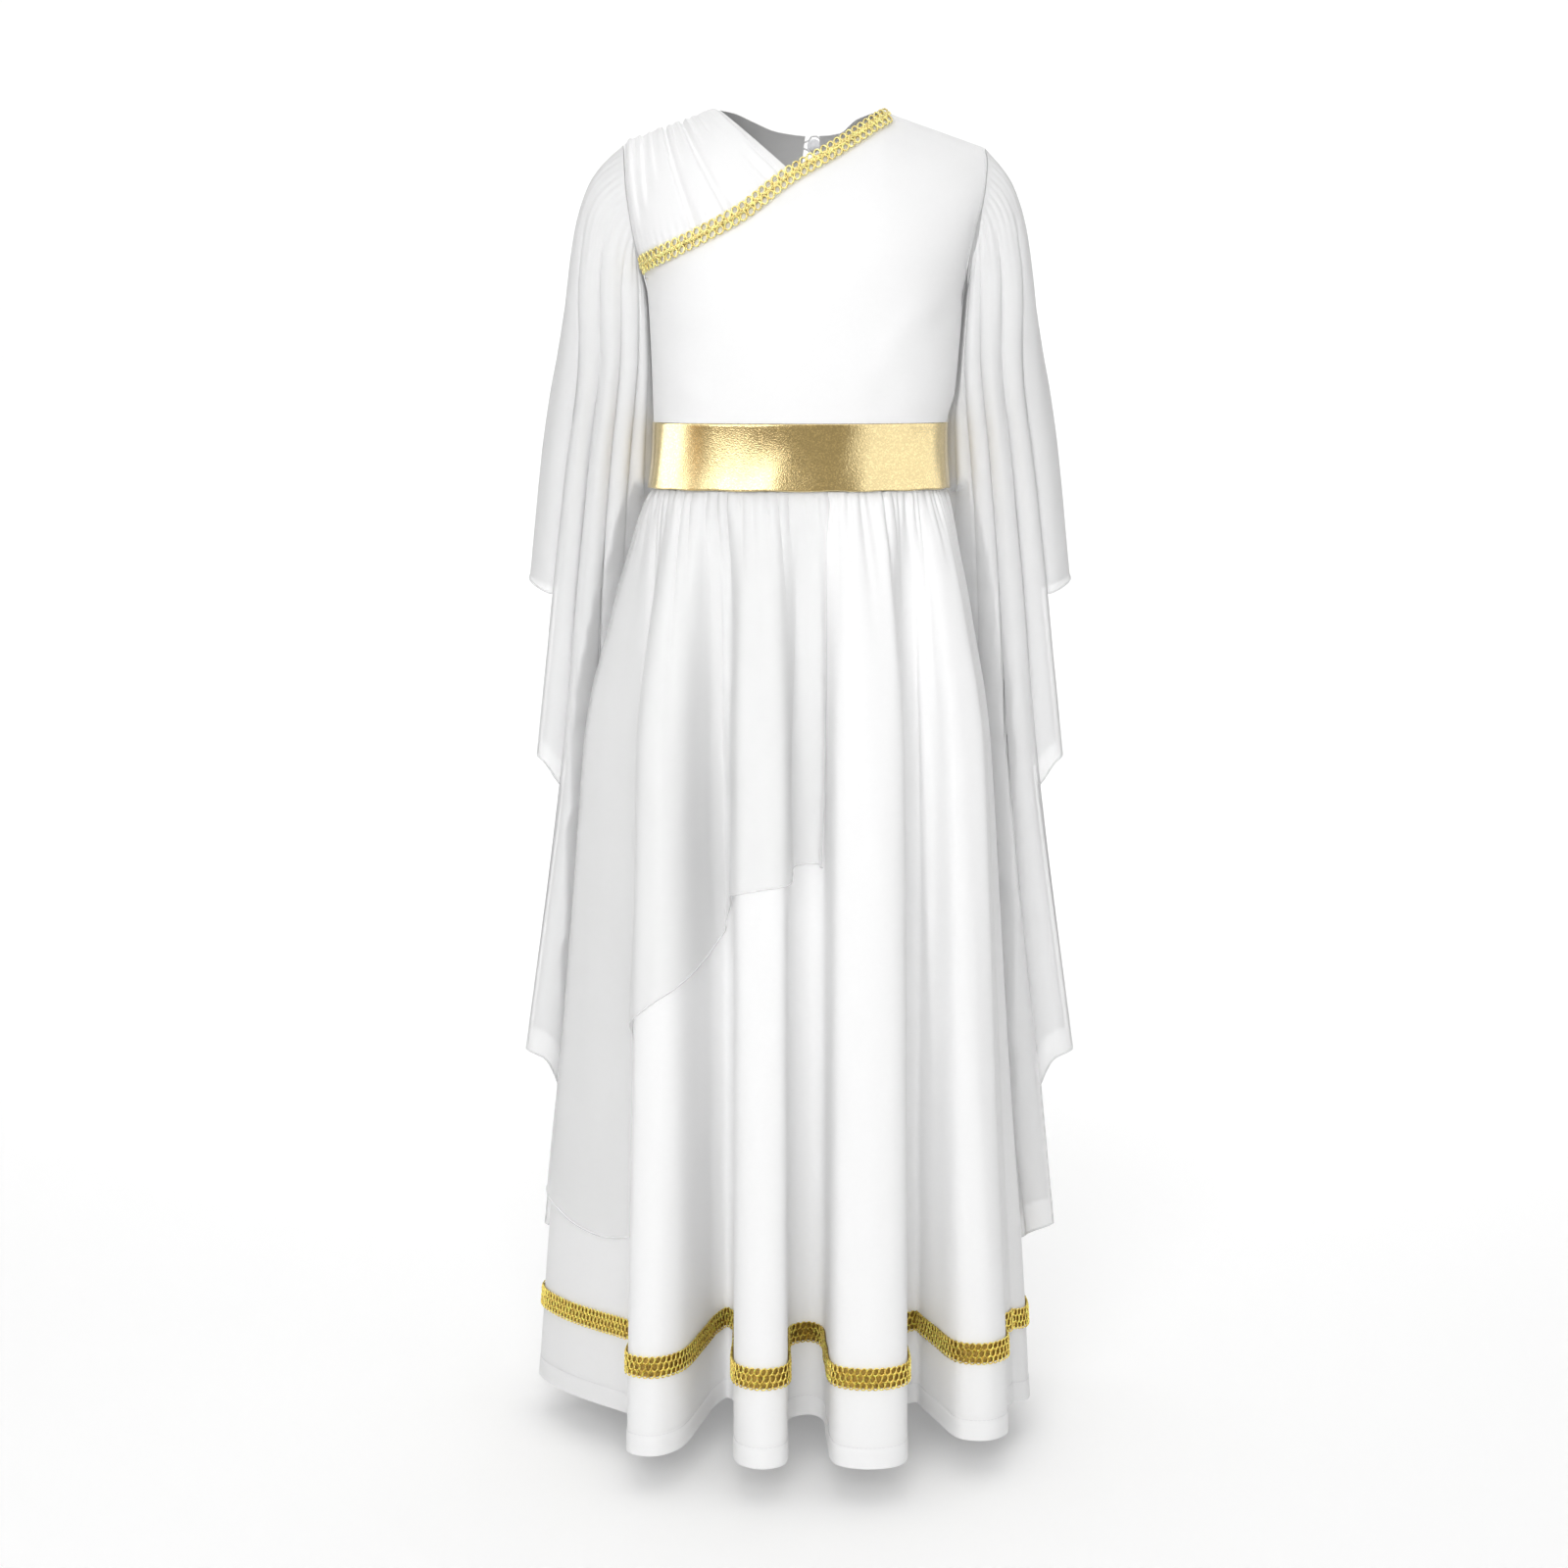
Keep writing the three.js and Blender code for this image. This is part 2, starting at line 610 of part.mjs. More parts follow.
const skirtKnots = FOLDS.flatMap((fold, i) => {
  const before = FOLDS[(i + FOLDS.length - 1) % FOLDS.length].valley - (i === 0 ? 360 : 0);
  const next = FOLDS[(i + 1) % FOLDS.length].crest + (i === FOLDS.length - 1 ? 360 : 0);
  const left = foldSide(i, 'left');
  const right = foldSide(i, 'right');
  const knot = (place, waistAngle, lift = 0) => ({ place, waistAngle, lift: lift * VALLEY_LIFT });
  return [
    knot(left.flank, mix(before, fold.crest, 0.35), 0.4),
    knot(left.shoulder, mix(before, fold.crest, 0.68)),
    knot(new THREE.Vector2(fold.x, fold.y), fold.crest),
    knot(right.shoulder, mix(fold.crest, fold.valley, 0.32)),
    knot(right.flank, mix(fold.crest, fold.valley, 0.65), 0.4),
    knot(right.edge, mix(fold.crest, fold.valley, 0.85), 0.8),
    knot(new THREE.Vector2(fold.valleyX, fold.valleyY), fold.valley, 1),
    knot(foldSide(i + 1, 'left').edge, mix(fold.valley, next, 0.17), 0.8),
  ];
});

function skirtKnotAt(knot, fall) {
  const top = waistPlace(knot.waistAngle, SKIRT_TOP);
  const frontal = Math.abs(Math.sin(radians(knot.waistAngle)));
  const sideways = mix(flareSide(fall), flareFront(fall), frontal);
  return new THREE.Vector3(
    mix(top.x, knot.place.x, sideways),
    mix(top.y, knot.place.y, flareSide(fall)),
    SKIRT_TOP + (HEM + knot.lift - SKIRT_TOP) * fall,
  );
}

const outlines = new Map();
function skirtOutline(fall) {
  if (!outlines.has(fall)) {
    const knots = skirtKnots.map((knot) => skirtKnotAt(knot, fall));
    outlines.set(fall, new THREE.CatmullRomCurve3(knots, true, 'centripetal'));
  }
  return outlines.get(fall);
}

// A place on the skirt by fold number and height share
function skirtPlace(fold, fall) {
  const share = (((fold / FOLDS.length) % 1) + 1) % 1;
  return skirtOutline(fall).getPoint(share);
}

const fallOf = (z) => (SKIRT_TOP - z) / (SKIRT_TOP - HEM);

// Columns round the skirt. The two side seams have a column on each side of a narrow gap
const SIDE_SEAMS = { right: 0, left: 6 };
const FINE_COLUMNS = FOLDS.length * COLUMNS_PER_FOLD * 2;
function skirtColumns() {
  const columns = [];
  for (let i = 0; i < FINE_COLUMNS; i += 1) {
    const fold = (i * FOLDS.length) / FINE_COLUMNS;
    const seam = Object.values(SIDE_SEAMS).includes(fold);
    const wave = Math.sin((2 * Math.PI * i) / POINTS_PER_GATHER);
    const even = i % 2 === 0;
    if (seam) {
      const slope = skirtPlace(fold + 0.01, 0).distanceTo(skirtPlace(fold - 0.01, 0)) / 0.02;
      const half = (0.55 * SEAM_GAP) / slope;
      columns.push({ fold: fold - half, wave, coarse: even });
      columns.push({ fold: fold + half, wave, coarse: even });
    } else {
      columns.push({ fold, wave, coarse: even });
    }
  }
  return columns;
}

// The whole skirt as one grid with its normals, which its pieces and trims are taken from
function skirtGrid() {
  const columns = skirtColumns();
  const surface = new Surface();
  const rows = SKIRT_ROWS.map((row) => {
    const fall = fallOf(row.z);
    const kept = columns.filter((item) => row.fine || item.coarse);
    const places = kept.map((item) => {
      const place = skirtPlace(item.fold, fall);
      const ahead = skirtPlace(item.fold + 0.05, fall).sub(skirtPlace(item.fold - 0.05, fall));
      const out = new THREE.Vector3(ahead.y, -ahead.x, 0).normalize();
      return place.addScaledVector(out, row.gather * item.wave);
    });
    return surface.strip(places, kept.map((item) => item.fold));
  });
  rows.slice(1).forEach((next, i) => {
    const closing = (line) => [...line, { ...line[0], key: line[0].key + FOLDS.length }];
    surface.join(closing(rows[i]), closing(next));
  });
  surface.findNormals();
  surface.faceAlong(surface.points[0].clone().setZ(0), 0);
  return { surface, rows };
}

// A piece of the skirt's grid between two folds and two rows
function skirtPiece(grid, { from, to, firstRow, lastRow, inside, outside }) {
  const piece = new Surface();
  const rows = grid.rows.slice(firstRow, lastRow + 1).map((row) => {
    const after = (entry) => (entry.key < from ? { ...entry, key: entry.key + FOLDS.length } : entry);
    const turned = row.map(after);
    const kept = turned.filter((entry) => entry.key <= to).sort((a, b) => a.key - b.key);
    kept.forEach((entry) => piece.normals.push(grid.surface.normals[entry.index]));
    return piece.strip(kept.map((entry) => grid.surface.points[entry.index]), kept.map((entry) => entry.key));
  });
  rows.slice(1).forEach((next, i) => piece.join(rows[i], next));
  return piece.wall(inside, outside);
}

// The overskirt lies on the skirt: the skirt's own triangles, moved out and cut along its edge
const overskirtEdge = column(OVERSKIRT_EDGE, 'fold', 'z');
function overskirt(grid) {
  const from = OVERSKIRT_EDGE[0].fold;
  const to = OVERSKIRT_EDGE[OVERSKIRT_EDGE.length - 1].fold;
  const corners = new Map();
  grid.rows.forEach((entries, r) => entries.forEach((entry) => {
    const fold = entry.key > to + 0.001 ? entry.key - FOLDS.length : entry.key;
    const above = grid.surface.points[entry.index].z - overskirtEdge(fold);
    const moved = Math.abs(above) < 3 ? 3 * Math.sign(above) : above;
    corners.set(entry.index, { fold, top: r === 0, above: moved });
  }));
  const piece = new Surface();
  const made = new Map();
  const place = (name, point, normal) => {
    if (!made.has(name)) {
      made.set(name, piece.points.length);
      piece.points.push(point);
      piece.normals.push(normal);
    }
    return made.get(name);
  };
  const corner = (index) => {
    const normal = grid.surface.normals[index].clone();
    if (corners.get(index).top) normal.setZ(0).normalize();
    return place(`${index}`, grid.surface.points[index], normal);
  };
  const cut = (a, b) => {
    const [p, q] = a < b ? [a, b] : [b, a];
    const share = corners.get(p).above / (corners.get(p).above - corners.get(q).above);
    const point = grid.surface.points[p].clone().lerp(grid.surface.points[q], share);
    const normal = grid.surface.normals[p].clone().lerp(grid.surface.normals[q], share).normalize();
    return place(`${p}-${q}`, point, normal);
  };
  for (const triangle of grid.surface.triangles) {
    const folds = triangle.map((index) => corners.get(index).fold);
    if (Math.min(...folds) < from || Math.max(...folds) > to + 0.001) continue;
    const outline = [];
    triangle.forEach((index, k) => {
      const next = triangle[(k + 1) % 3];
      const here = corners.get(index).above > 0;
      if (here) outline.push(corner(index));
      if (here !== corners.get(next).above > 0) outline.push(cut(index, next));
    });
    for (let k = 2; k < outline.length; k += 1) {
      piece.triangles.push([outline[0], outline[k - 1], outline[k]]);
    }
  }
  return piece.wall(SEAM_GAP, SEAM_GAP + CHIFFON);
}

// Curves of the sleeve's section, down its length
const sleeveAt = Object.fromEntries(
  ['outer', 'centre', 'radius', 'middle', 'half', 'pipe'].map((name) => [name, column(SLEEVE, 'z', name)]),
);

// How far back the skirt lies at a distance from the middle, on one side, at a height
function skirtFlank(sign, x, z) {
  if (z > SKIRT_TOP) return -Infinity;
  const fall = fallOf(z);
  let back = -Infinity;
  for (let i = 0; i < FOLDS.length * KNOTS_PER_FOLD; i += 1) {
    const place = skirtPlace(i / KNOTS_PER_FOLD, fall);
    if (sign * place.x > x - 5) back = Math.max(back, place.y);
  }
  return back;
}

// The sleeve rests on the skirt's side, so it moves back just as far as the skirt needs,
// and less and less away from it
const flankShifts = new Map();
function flankShift(sign, x, z) {
  const name = `${sign},${z.toFixed(1)}`;
  if (!flankShifts.has(name)) {
    const front = sleeveAt.middle(z) - sleeveAt.half(z) - sleeveAt.pipe(z) * 0.6;
    const needs = [];
    for (let at = 110; at <= 240; at += 5) {
      needs.push({ at, need: skirtFlank(sign, at, z) + SKIRT_CLEARANCE - front });
    }
    flankShifts.set(name, needs);
  }
  const fade = 1.5;
  const lying = (row) => row.need - fade * Math.abs(x - row.at);
  return flankShifts.get(name).reduce((most, row) => Math.max(most, lying(row)), 0);
}

// A sleeve's columns round the arm, each with the hem of its own pipe
function sleeveColumns() {
  return PIPES.flatMap((pipe) => {
    const hem = column([
      { at: 0, z: pipe.first }, { at: 0.5, z: pipe.middle }, { at: 1, z: pipe.last },
    ], 'at', 'z');
    return Array.from({ length: pipe.columns }, (_, i) => {
      const at = i / pipe.columns;
      const swell = Math.sin(Math.PI * at) ** 0.75;
      const previous = PIPES[(PIPES.indexOf(pipe) + PIPES.length - 1) % PIPES.length];
      const hemHere = i === 0 ? Math.max(previous.last, pipe.first) : hem(at);
      return { angle: mix(pipe.from, pipe.to, at), swell, hem: hemHere };
    });
  });
}

function sleevePlace(side, item, start, z) {
  const sign = side === 'left' ? 1 : -1;
  const a = radians(item.angle);
  const drop = start.z - z;
  const pipe = sleeveAt.pipe(z) * (item.swell - 0.6) * (1 - Math.exp(-drop / 45));
  const overArm = Math.max(0, Math.cos(a)) ** 4;
  const reach = sleeveAt.radius(z) + (sleeveAt.outer(z) - sleeveAt.centre(z) - sleeveAt.radius(z)) * overArm;
  const across = sleeveAt.centre(z) + (reach + pipe * (1 - overArm)) * Math.cos(a);
  const limit = Math.abs(panelEdge(side, Math.min(z, start.z))) + BODY_CLEARANCE;
  const hug = 4;
  const clear = limit + hug * Math.log(1 + Math.exp((across - limit) / hug));
  const y = sleeveAt.middle(z) - (sleeveAt.half(z) + pipe) * Math.sin(a) + flankShift(sign, clear, z);
  const leave = 1 - Math.exp(-drop / 9);
  return new THREE.Vector3(
    sign * mix(start.x, clear, leave) + SLEEVE_SHIFT * leave,
    mix(start.y, y, leave),
    z,
  );
}

function sleeve(side) {
  const sign = side === 'left' ? 1 : -1;
  const surface = new Surface();
  const top = shoulderTip(side).z;
  const columns = sleeveColumns().map((item) => {
    const a = radians(item.angle);
    const z = mix(UNDERARM, top, 0.5 + 0.5 * Math.cos(a));
    const edge = panelEdge(side, Math.max(z, UNDERARM + 0.01));
    const face = Math.sin(a) > 0 ? 'front' : 'back';
    const depth = torsoDepth(face, edge, z);
    const y = (face === 'front' ? -1 : 1) * depth;
    const under = 0.8 * Math.max(0, -Math.cos(a)) ** 3;
    const start = new THREE.Vector3(Math.abs(edge) + SEAM_GAP + 0.5 + under, y, z);
    const levels = SLEEVE_LEVELS.filter((level) => level < z - 5 && level > item.hem + 6);
    const heights = [z, ...levels, item.hem];
    const places = heights.map((height, i) => (i === 0
      ? new THREE.Vector3(sign * start.x, start.y, start.z)
      : sleevePlace(side, item, start, height)));
    return surface.strip(places, heights.map((height) => -height));
  });
  columns.forEach((next, i) => surface.join(columns[(i + columns.length - 1) % columns.length], next));
  surface.findNormals();
  surface.faceAlong(new THREE.Vector3(sign, 0, 0), columns[0][columns[0].length - 1].index);
  return surface.wall(-CHIFFON, 0);
}

// The round button at the top of the slit stands on the left back's edge
const BUTTON_X = SLIT.x + 1.5;
function backButton() {
  const depth = torsoDepth('back', BUTTON_X, BUTTON_Z - BUTTON_RADIUS / 2);
  const geometry = new THREE.SphereGeometry(BUTTON_RADIUS, 12, 8);
  geometry.scale(1, 0.7, 1);
  geometry.translate(BUTTON_X, depth + SEAM_GAP + 1.4 + 0.7 * BUTTON_RADIUS, BUTTON_Z);
  return geometry;
}

// The cord loop runs from the right back round the button
function buttonLoop() {
  const reach = BUTTON_RADIUS + LOOP_CORD / 2 + 0.4;
  const onBack = (x, z) => {
    const depth = torsoDepth('back', x, z) + SEAM_GAP + 0.6 + LOOP_CORD / 2;
    return new THREE.Vector3(x, depth, z);
  };
  const end = SLIT.x - 9;
  const places = [onBack(end, BUTTON_Z + 1.4)];
  for (let i = 0; i <= 8; i += 1) {
    const a = radians(mix(110, -110, i / 8));
    places.push(onBack(BUTTON_X + reach * Math.cos(a), BUTTON_Z + reach * Math.sin(a)));
  }
  places.push(onBack(end, BUTTON_Z - 1.4));
  const section = new THREE.Shape();
  section.absellipse(0, 0, LOOP_CORD / 2, LOOP_CORD / 2, 0, Math.PI * 2);
  const route = new THREE.CatmullRomCurve3(places, false, 'centripetal');
  const options = { steps: 22, curveSegments: 3, bevelEnabled: false, extrudePath: route };
  return new THREE.ExtrudeGeometry(section, options);
}

// The dress, put together
const dress = new THREE.Group();
function add(name, geometry, material) {
  const mesh = new THREE.Mesh(geometry, material);
  mesh.name = name;
  dress.add(mesh);
}

const grid = skirtGrid();
const rowAt = (z) => SKIRT_ROWS.findIndex((item) => item.z === z);
const front = { from: SIDE_SEAMS.right, to: SIDE_SEAMS.left };
const back = { from: SIDE_SEAMS.left, to: SIDE_SEAMS.right + FOLDS.length };
const cloth = { firstRow: 0, lastRow: rowAt(HEM), inside: -JERSEY, outside: 0 };
const trimRows = { firstRow: rowAt(TRIM_TOP), lastRow: rowAt(TRIM_BOTTOM) };
const trim = { ...trimRows, inside: SEAM_GAP, outside: SEAM_GAP + BRAID };

add('bodice_front', bodiceFront(), whiteJersey());
add('shoulder_drape', shoulderDrape(), whiteJersey());
add('bodice_back_left', bodiceBack('left'), whiteJersey());
add('bodice_back_right', bodiceBack('right'), whiteJersey());
add('neck_braid', neckBraid(), goldBraid());
add('waistband', waistband(), goldFoil());
add('skirt_front', skirtPiece(grid, { ...front, ...cloth }), whiteJersey());
add('skirt_back', skirtPiece(grid, { ...back, ...cloth }), whiteJersey());
add('overskirt', overskirt(grid), greyChiffon());
add('sleeve_left', sleeve('left'), greyChiffon());
add('sleeve_right', sleeve('right'), greyChiffon());
add('hem_braid_front', skirtPiece(grid, { ...front, ...trim }), goldBraid());
add('hem_braid_back', skirtPiece(grid, { ...back, ...trim }), goldBraid());
add('back_button', backButton(), whiteJersey());
add('button_loop', buttonLoop(), whiteJersey());

export default dress;
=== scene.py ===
import math

import bpy
import numpy as np
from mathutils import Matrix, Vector


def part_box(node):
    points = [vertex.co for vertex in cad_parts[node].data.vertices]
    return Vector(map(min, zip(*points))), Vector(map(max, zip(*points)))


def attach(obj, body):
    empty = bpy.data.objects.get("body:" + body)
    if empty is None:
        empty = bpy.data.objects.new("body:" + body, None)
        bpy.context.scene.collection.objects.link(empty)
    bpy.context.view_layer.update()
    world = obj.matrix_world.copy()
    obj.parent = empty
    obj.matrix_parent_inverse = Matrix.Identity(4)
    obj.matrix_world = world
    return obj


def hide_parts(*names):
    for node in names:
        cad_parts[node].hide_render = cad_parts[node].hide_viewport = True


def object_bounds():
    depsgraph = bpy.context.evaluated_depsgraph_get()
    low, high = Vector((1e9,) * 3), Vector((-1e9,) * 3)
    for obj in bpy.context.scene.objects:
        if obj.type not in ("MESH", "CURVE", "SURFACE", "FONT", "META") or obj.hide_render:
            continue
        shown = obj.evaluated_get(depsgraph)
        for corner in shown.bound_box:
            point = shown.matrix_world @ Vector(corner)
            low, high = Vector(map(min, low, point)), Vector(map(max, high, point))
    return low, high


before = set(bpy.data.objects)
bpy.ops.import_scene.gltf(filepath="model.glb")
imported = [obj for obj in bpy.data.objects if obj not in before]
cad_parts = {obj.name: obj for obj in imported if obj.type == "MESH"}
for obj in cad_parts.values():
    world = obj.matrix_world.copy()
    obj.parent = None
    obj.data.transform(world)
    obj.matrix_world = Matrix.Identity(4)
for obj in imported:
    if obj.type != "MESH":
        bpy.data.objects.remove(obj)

cad_low, cad_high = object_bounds()

# The photographer's camera stands 2.2 m in front of the dress, level with its waist,
# and looks a little down on it.
CAMERA_PLACE = (-0.0123, -2.2, -0.1776)
CAMERA_TILT = 8.66
CAMERA_LENS = 63.9
camera_data = bpy.data.cameras.new("camera")
camera_data.lens = CAMERA_LENS
camera_data.sensor_width = 36
camera = bpy.data.objects.new("camera", camera_data)
camera.location = CAMERA_PLACE
camera.rotation_euler = (math.radians(90 - CAMERA_TILT), 0, 0)
bpy.context.scene.collection.objects.link(camera)
bpy.context.scene.camera = camera
bpy.context.scene.view_settings.view_transform = "Standard"

# The studio: a pale floor 3 cm under the hem that curves up into a backdrop, a pale room and soft lamps.
# The widest lamps stand in front, so the folds are pale on their crests and shaded in their valleys.
FLOOR_DROP = 0.03
BACKDROP = {
    "y": (-2.5, -1.5, 0, 2.4, 3.4, 4.2, 4.8, 5.2, 5.4, 5.5, 5.5),
    "rise": (0, 0, 0, 0, 0.10, 0.38, 0.85, 1.5, 2.3, 3.4, 9),
}
BACKDROP_HALF = 9
LAMPS = {
    "name": ("key", "front", "low", "back", "top", "floor", "backdrop"),
    "place": ((-0.2, -1.1, 1.05), (-0.25, -2.3, 0.25), (-0.10, -2.2, -0.62), (1.1, 2.6, 1.0), (0.0, 0.3, 2.6),
              (0, -1.0, 3.0), (0, 2.0, 3.4)),
    "aim": ((0, 0, -0.04), (0, 0, -0.15), (0, 0, -0.85), (0, 0, -0.45), (0, 0, -0.3),
            (0, 0.2, -1.04), (0, 5.5, 0.8)),
    "size": (0.6, 1.2, 1.2, 1.9, 2.0, 3.0, 4.0),
    "watts": (2.0, 27, 3.0, 6, 2.5, 14, 130),
}


def add_node(tree, kind, inputs=None, **settings):
    """A node with its settings and inputs, where an input is a value or another node's socket"""
    made = tree.nodes.new(kind)
    for key, value in settings.items():
        setattr(made, key, value)
    for key, value in (inputs or {}).items():
        if isinstance(value, bpy.types.NodeSocket):
            tree.links.new(value, made.inputs[key])
        else:
            made.inputs[key].default_value = value
    return made


def math_node(tree, operation, *values):
    return add_node(tree, "ShaderNodeMath", dict(enumerate(values)), operation=operation).outputs[0]


def remap(tree, value, low, high, at_low, at_high, kind="LINEAR"):
    """A value that runs from low to high, made to run from at_low to at_high"""
    return add_node(tree, "ShaderNodeMapRange", {"Value": value, "From Min": low, "From Max": high,
                                                 "To Min": at_low, "To Max": at_high},
                    interpolation_type=kind).outputs[0]


def soft_lamp(name, place, aim, size, watts):
    data = bpy.data.lights.new(name, "AREA")
    data.size = size
    data.energy = watts
    lamp = bpy.data.objects.new(name, data)
    lamp.location = place
    lamp.rotation_euler = (Vector(aim) - Vector(place)).to_track_quat("-Z", "Y").to_euler()
    lamp.visible_camera = False
    lamp.visible_glossy = False
    bpy.context.scene.collection.objects.link(lamp)


for lamp_values in zip(*LAMPS.values()):
    soft_lamp(*lamp_values)

room = bpy.data.worlds.new("room")
bpy.context.scene.world = room
room.use_nodes = True
room_tree = room.node_tree
room_tree.nodes.clear()
# What the shiny waistband mirrors: patches of the room by their bearing, positive to the camera's right,
# and their height over the horizon, in degrees
ROOM_LIGHT = (0.43, 0.43, 0.43, 1)
ROOM_SEEN = (1.0, 1.0, 1.0, 1)
ROOM_MIRRORED = (1.4, 1.37, 1.30, 1)
PATCH_BLUR = {"bearing": 3, "height": 2}
ROOM_PATCHES = {
    "bearing": (-20, 8, -29, -100, -68, -160, 160),
    "reach": (49, 19, 21, 21, 5, 16, 16),
    "height": (-9, 0, 16, 7, 0, 0, 0),
    "rise": (14, 40, 11.5, 23, 12, 40, 40),
    "colour": ((0.46, 0.39, 0.28, 1), (0.48, 0.42, 0.30, 1), (3.0, 2.9, 2.8, 1), (2.8, 2.8, 2.7, 1),
               (0.80, 0.58, 0.37, 1), (0.70, 0.40, 0.30, 1), (0.58, 0.35, 0.33, 1)),
}
direction = add_node(room_tree, "ShaderNodeTexCoord")
compass = add_node(room_tree, "ShaderNodeSeparateXYZ", {0: direction.outputs["Generated"]})
ahead = math_node(room_tree, "MULTIPLY", compass.outputs["Y"], -1.0)
bearing = math_node(room_tree, "ARCTAN2", compass.outputs["X"], ahead)
height_angle = math_node(room_tree, "ARCSINE", compass.outputs["Z"])


def patch_share(angle, centre, half, blur):
    """1 within half an extent of the centre, falling softly to 0 outside it; all in degrees"""
    away = math_node(room_tree, "ABSOLUTE", math_node(room_tree, "SUBTRACT", angle, math.radians(centre)))
    return remap(room_tree, away, math.radians(half - blur), math.radians(half + blur), 1.0, 0.0,
                 "SMOOTHSTEP")


def room_background(colour):
    return add_node(room_tree, "ShaderNodeBackground", {"Color": colour, "Strength": 1.0}).outputs[0]


walls = add_node(room_tree, "ShaderNodeRGB")
walls.outputs[0].default_value = ROOM_MIRRORED
room_colour = walls.outputs[0]
for centre, reach, height, rise, colour in zip(*ROOM_PATCHES.values()):
    share = math_node(room_tree, "MULTIPLY", patch_share(bearing, centre, reach, PATCH_BLUR["bearing"]),
                      patch_share(height_angle, height, rise, PATCH_BLUR["height"]))
    blend = add_node(room_tree, "ShaderNodeMix", {0: share, 6: room_colour, 7: colour}, data_type="RGBA")
    room_colour = blend.outputs[2]
room_ray = add_node(room_tree, "ShaderNodeLightPath")
unseen_room = add_node(room_tree, "ShaderNodeMixShader", {
    0: room_ray.outputs["Is Glossy Ray"], 1: room_background(ROOM_LIGHT), 2: room_background(room_colour)})
whole_room = add_node(room_tree, "ShaderNodeMixShader", {
    0: room_ray.outputs["Is Camera Ray"], 1: unseen_room.outputs[0], 2: room_background(ROOM_SEEN)})
add_node(room_tree, "ShaderNodeOutputWorld", {"Surface": whole_room.outputs[0]})

floor_mesh = bpy.data.meshes.new("floor")
floor_line = [(y, cad_low.z - FLOOR_DROP + rise) for y, rise in zip(*BACKDROP.values())]
floor_mesh.from_pydata([(side, y, z) for y, z in floor_line for side in (-BACKDROP_HALF, BACKDROP_HALF)], [],
                       [(k, k + 1, k + 3, k + 2) for k in range(0, 2 * len(floor_line) - 2, 2)])
floor_mesh.shade_smooth()
floor = bpy.data.objects.new("floor", floor_mesh)
bpy.context.scene.collection.objects.link(floor)


def new_material(name, finish):
    """A material, its node tree and its Principled shader, which takes the finish's values"""
    made = bpy.data.materials.new(name)
    made.use_nodes = True
    shader = next(node for node in made.node_tree.nodes if node.type == "BSDF_PRINCIPLED")
    for label, value in finish.items():
        shader.inputs[label].default_value = value
    return made, made.node_tree, shader


# The floor is a little paler to the eye than in the light that it throws back
FLOOR_TONES = (0.82, 0.84)
FLOOR_GLOW = 0.22
floor_paint, paint_tree, paint_shader = new_material(
    "floor_paint", {"Emission Strength": 1.0, "Roughness": 0.85, "Specular IOR Level": 0.2})
floor_grain = add_node(paint_tree, "ShaderNodeTexNoise", {"Scale": 3.0, "Detail": 4.0})
paint_tree.links.new(remap(paint_tree, floor_grain.outputs["Fac"], 0, 1, *FLOOR_TONES),
                     paint_shader.inputs["Base Color"])
floor_ray = add_node(paint_tree, "ShaderNodeLightPath")
floor_glow = math_node(paint_tree, "MULTIPLY", floor_ray.outputs["Is Camera Ray"], FLOOR_GLOW)
floor_pale = add_node(paint_tree, "ShaderNodeCombineXYZ", {axis: floor_glow for axis in range(3)})
paint_tree.links.new(floor_pale.outputs[0], paint_shader.inputs["Emission Color"])
floor.data.materials.append(floor_paint)

# The bodice's front is one panel of white stretch jersey, cut off along a slant from the right armhole
# to the left end of the neck. It is sewn to the back at its sides and at the left shoulder.
JERSEY = 0.0007
SEAM_GAP = 0.0003
NECK_TOP = 0.013
NECK_HALF = 0.0615
SHOULDER_SLOPE = 0.35
WAISTBAND_TOP = -0.2255
UNDERARM = -0.1196
# Half widths to the left and right side seams by height, and how square the body's outline is there
TORSO = {
    "z": (-0.2765, -0.2255, -0.202, -0.164, -0.120, -0.086, -0.050, -0.010),
    "left": (0.1136, 0.1153, 0.1212, 0.1247, 0.1288, 0.139, 0.147, 0.150),
    "right": (0.1148, 0.1145, 0.1151, 0.1164, 0.1191, 0.1295, 0.138, 0.144),
    "square": (2.2, 2.2, 2.25, 2.3, 2.4, 2.7, 3.0, 3.0),
}
# How far the front and back stand out, by the drop from the shoulder line
DEPTH = {
    "drop": (0, 0.004, 0.010, 0.018, 0.032, 0.055, 0.090, 0.130, 0.180, 0.238),
    "front": (0, 0.012, 0.023, 0.034, 0.050, 0.068, 0.086, 0.095, 0.090, 0.080),
    "back": (0, 0.014, 0.028, 0.042, 0.057, 0.070, 0.080, 0.087, 0.086, 0.080),
}
# The armholes' edges above the side seams, by height
ARMHOLE = {
    "z": (-0.120, -0.099, -0.083, -0.064, -0.045, -0.026, -0.013),
    "left": (0.1288, 0.132, 0.136, 0.1386, 0.142, 0.1436, 0.1414),
    "right": (0.1191, 0.1242, 0.1278, 0.131, 0.1334, 0.1348, 0.1356),
}
# The slanted edge, by the share of the way from the right armhole to the left end of the neck
SLANT = {
    "share": (0, 0.2, 0.4, 0.6, 0.8, 1),
    "x": (-0.124, -0.094, -0.049, -0.012, 0.025, 0.066),
    "z": (-0.1015, -0.0895, -0.067, -0.0388, -0.0165, 0.0114),
}
SLANT_PART = 0.72
FRONT_GRID = (150, 100)
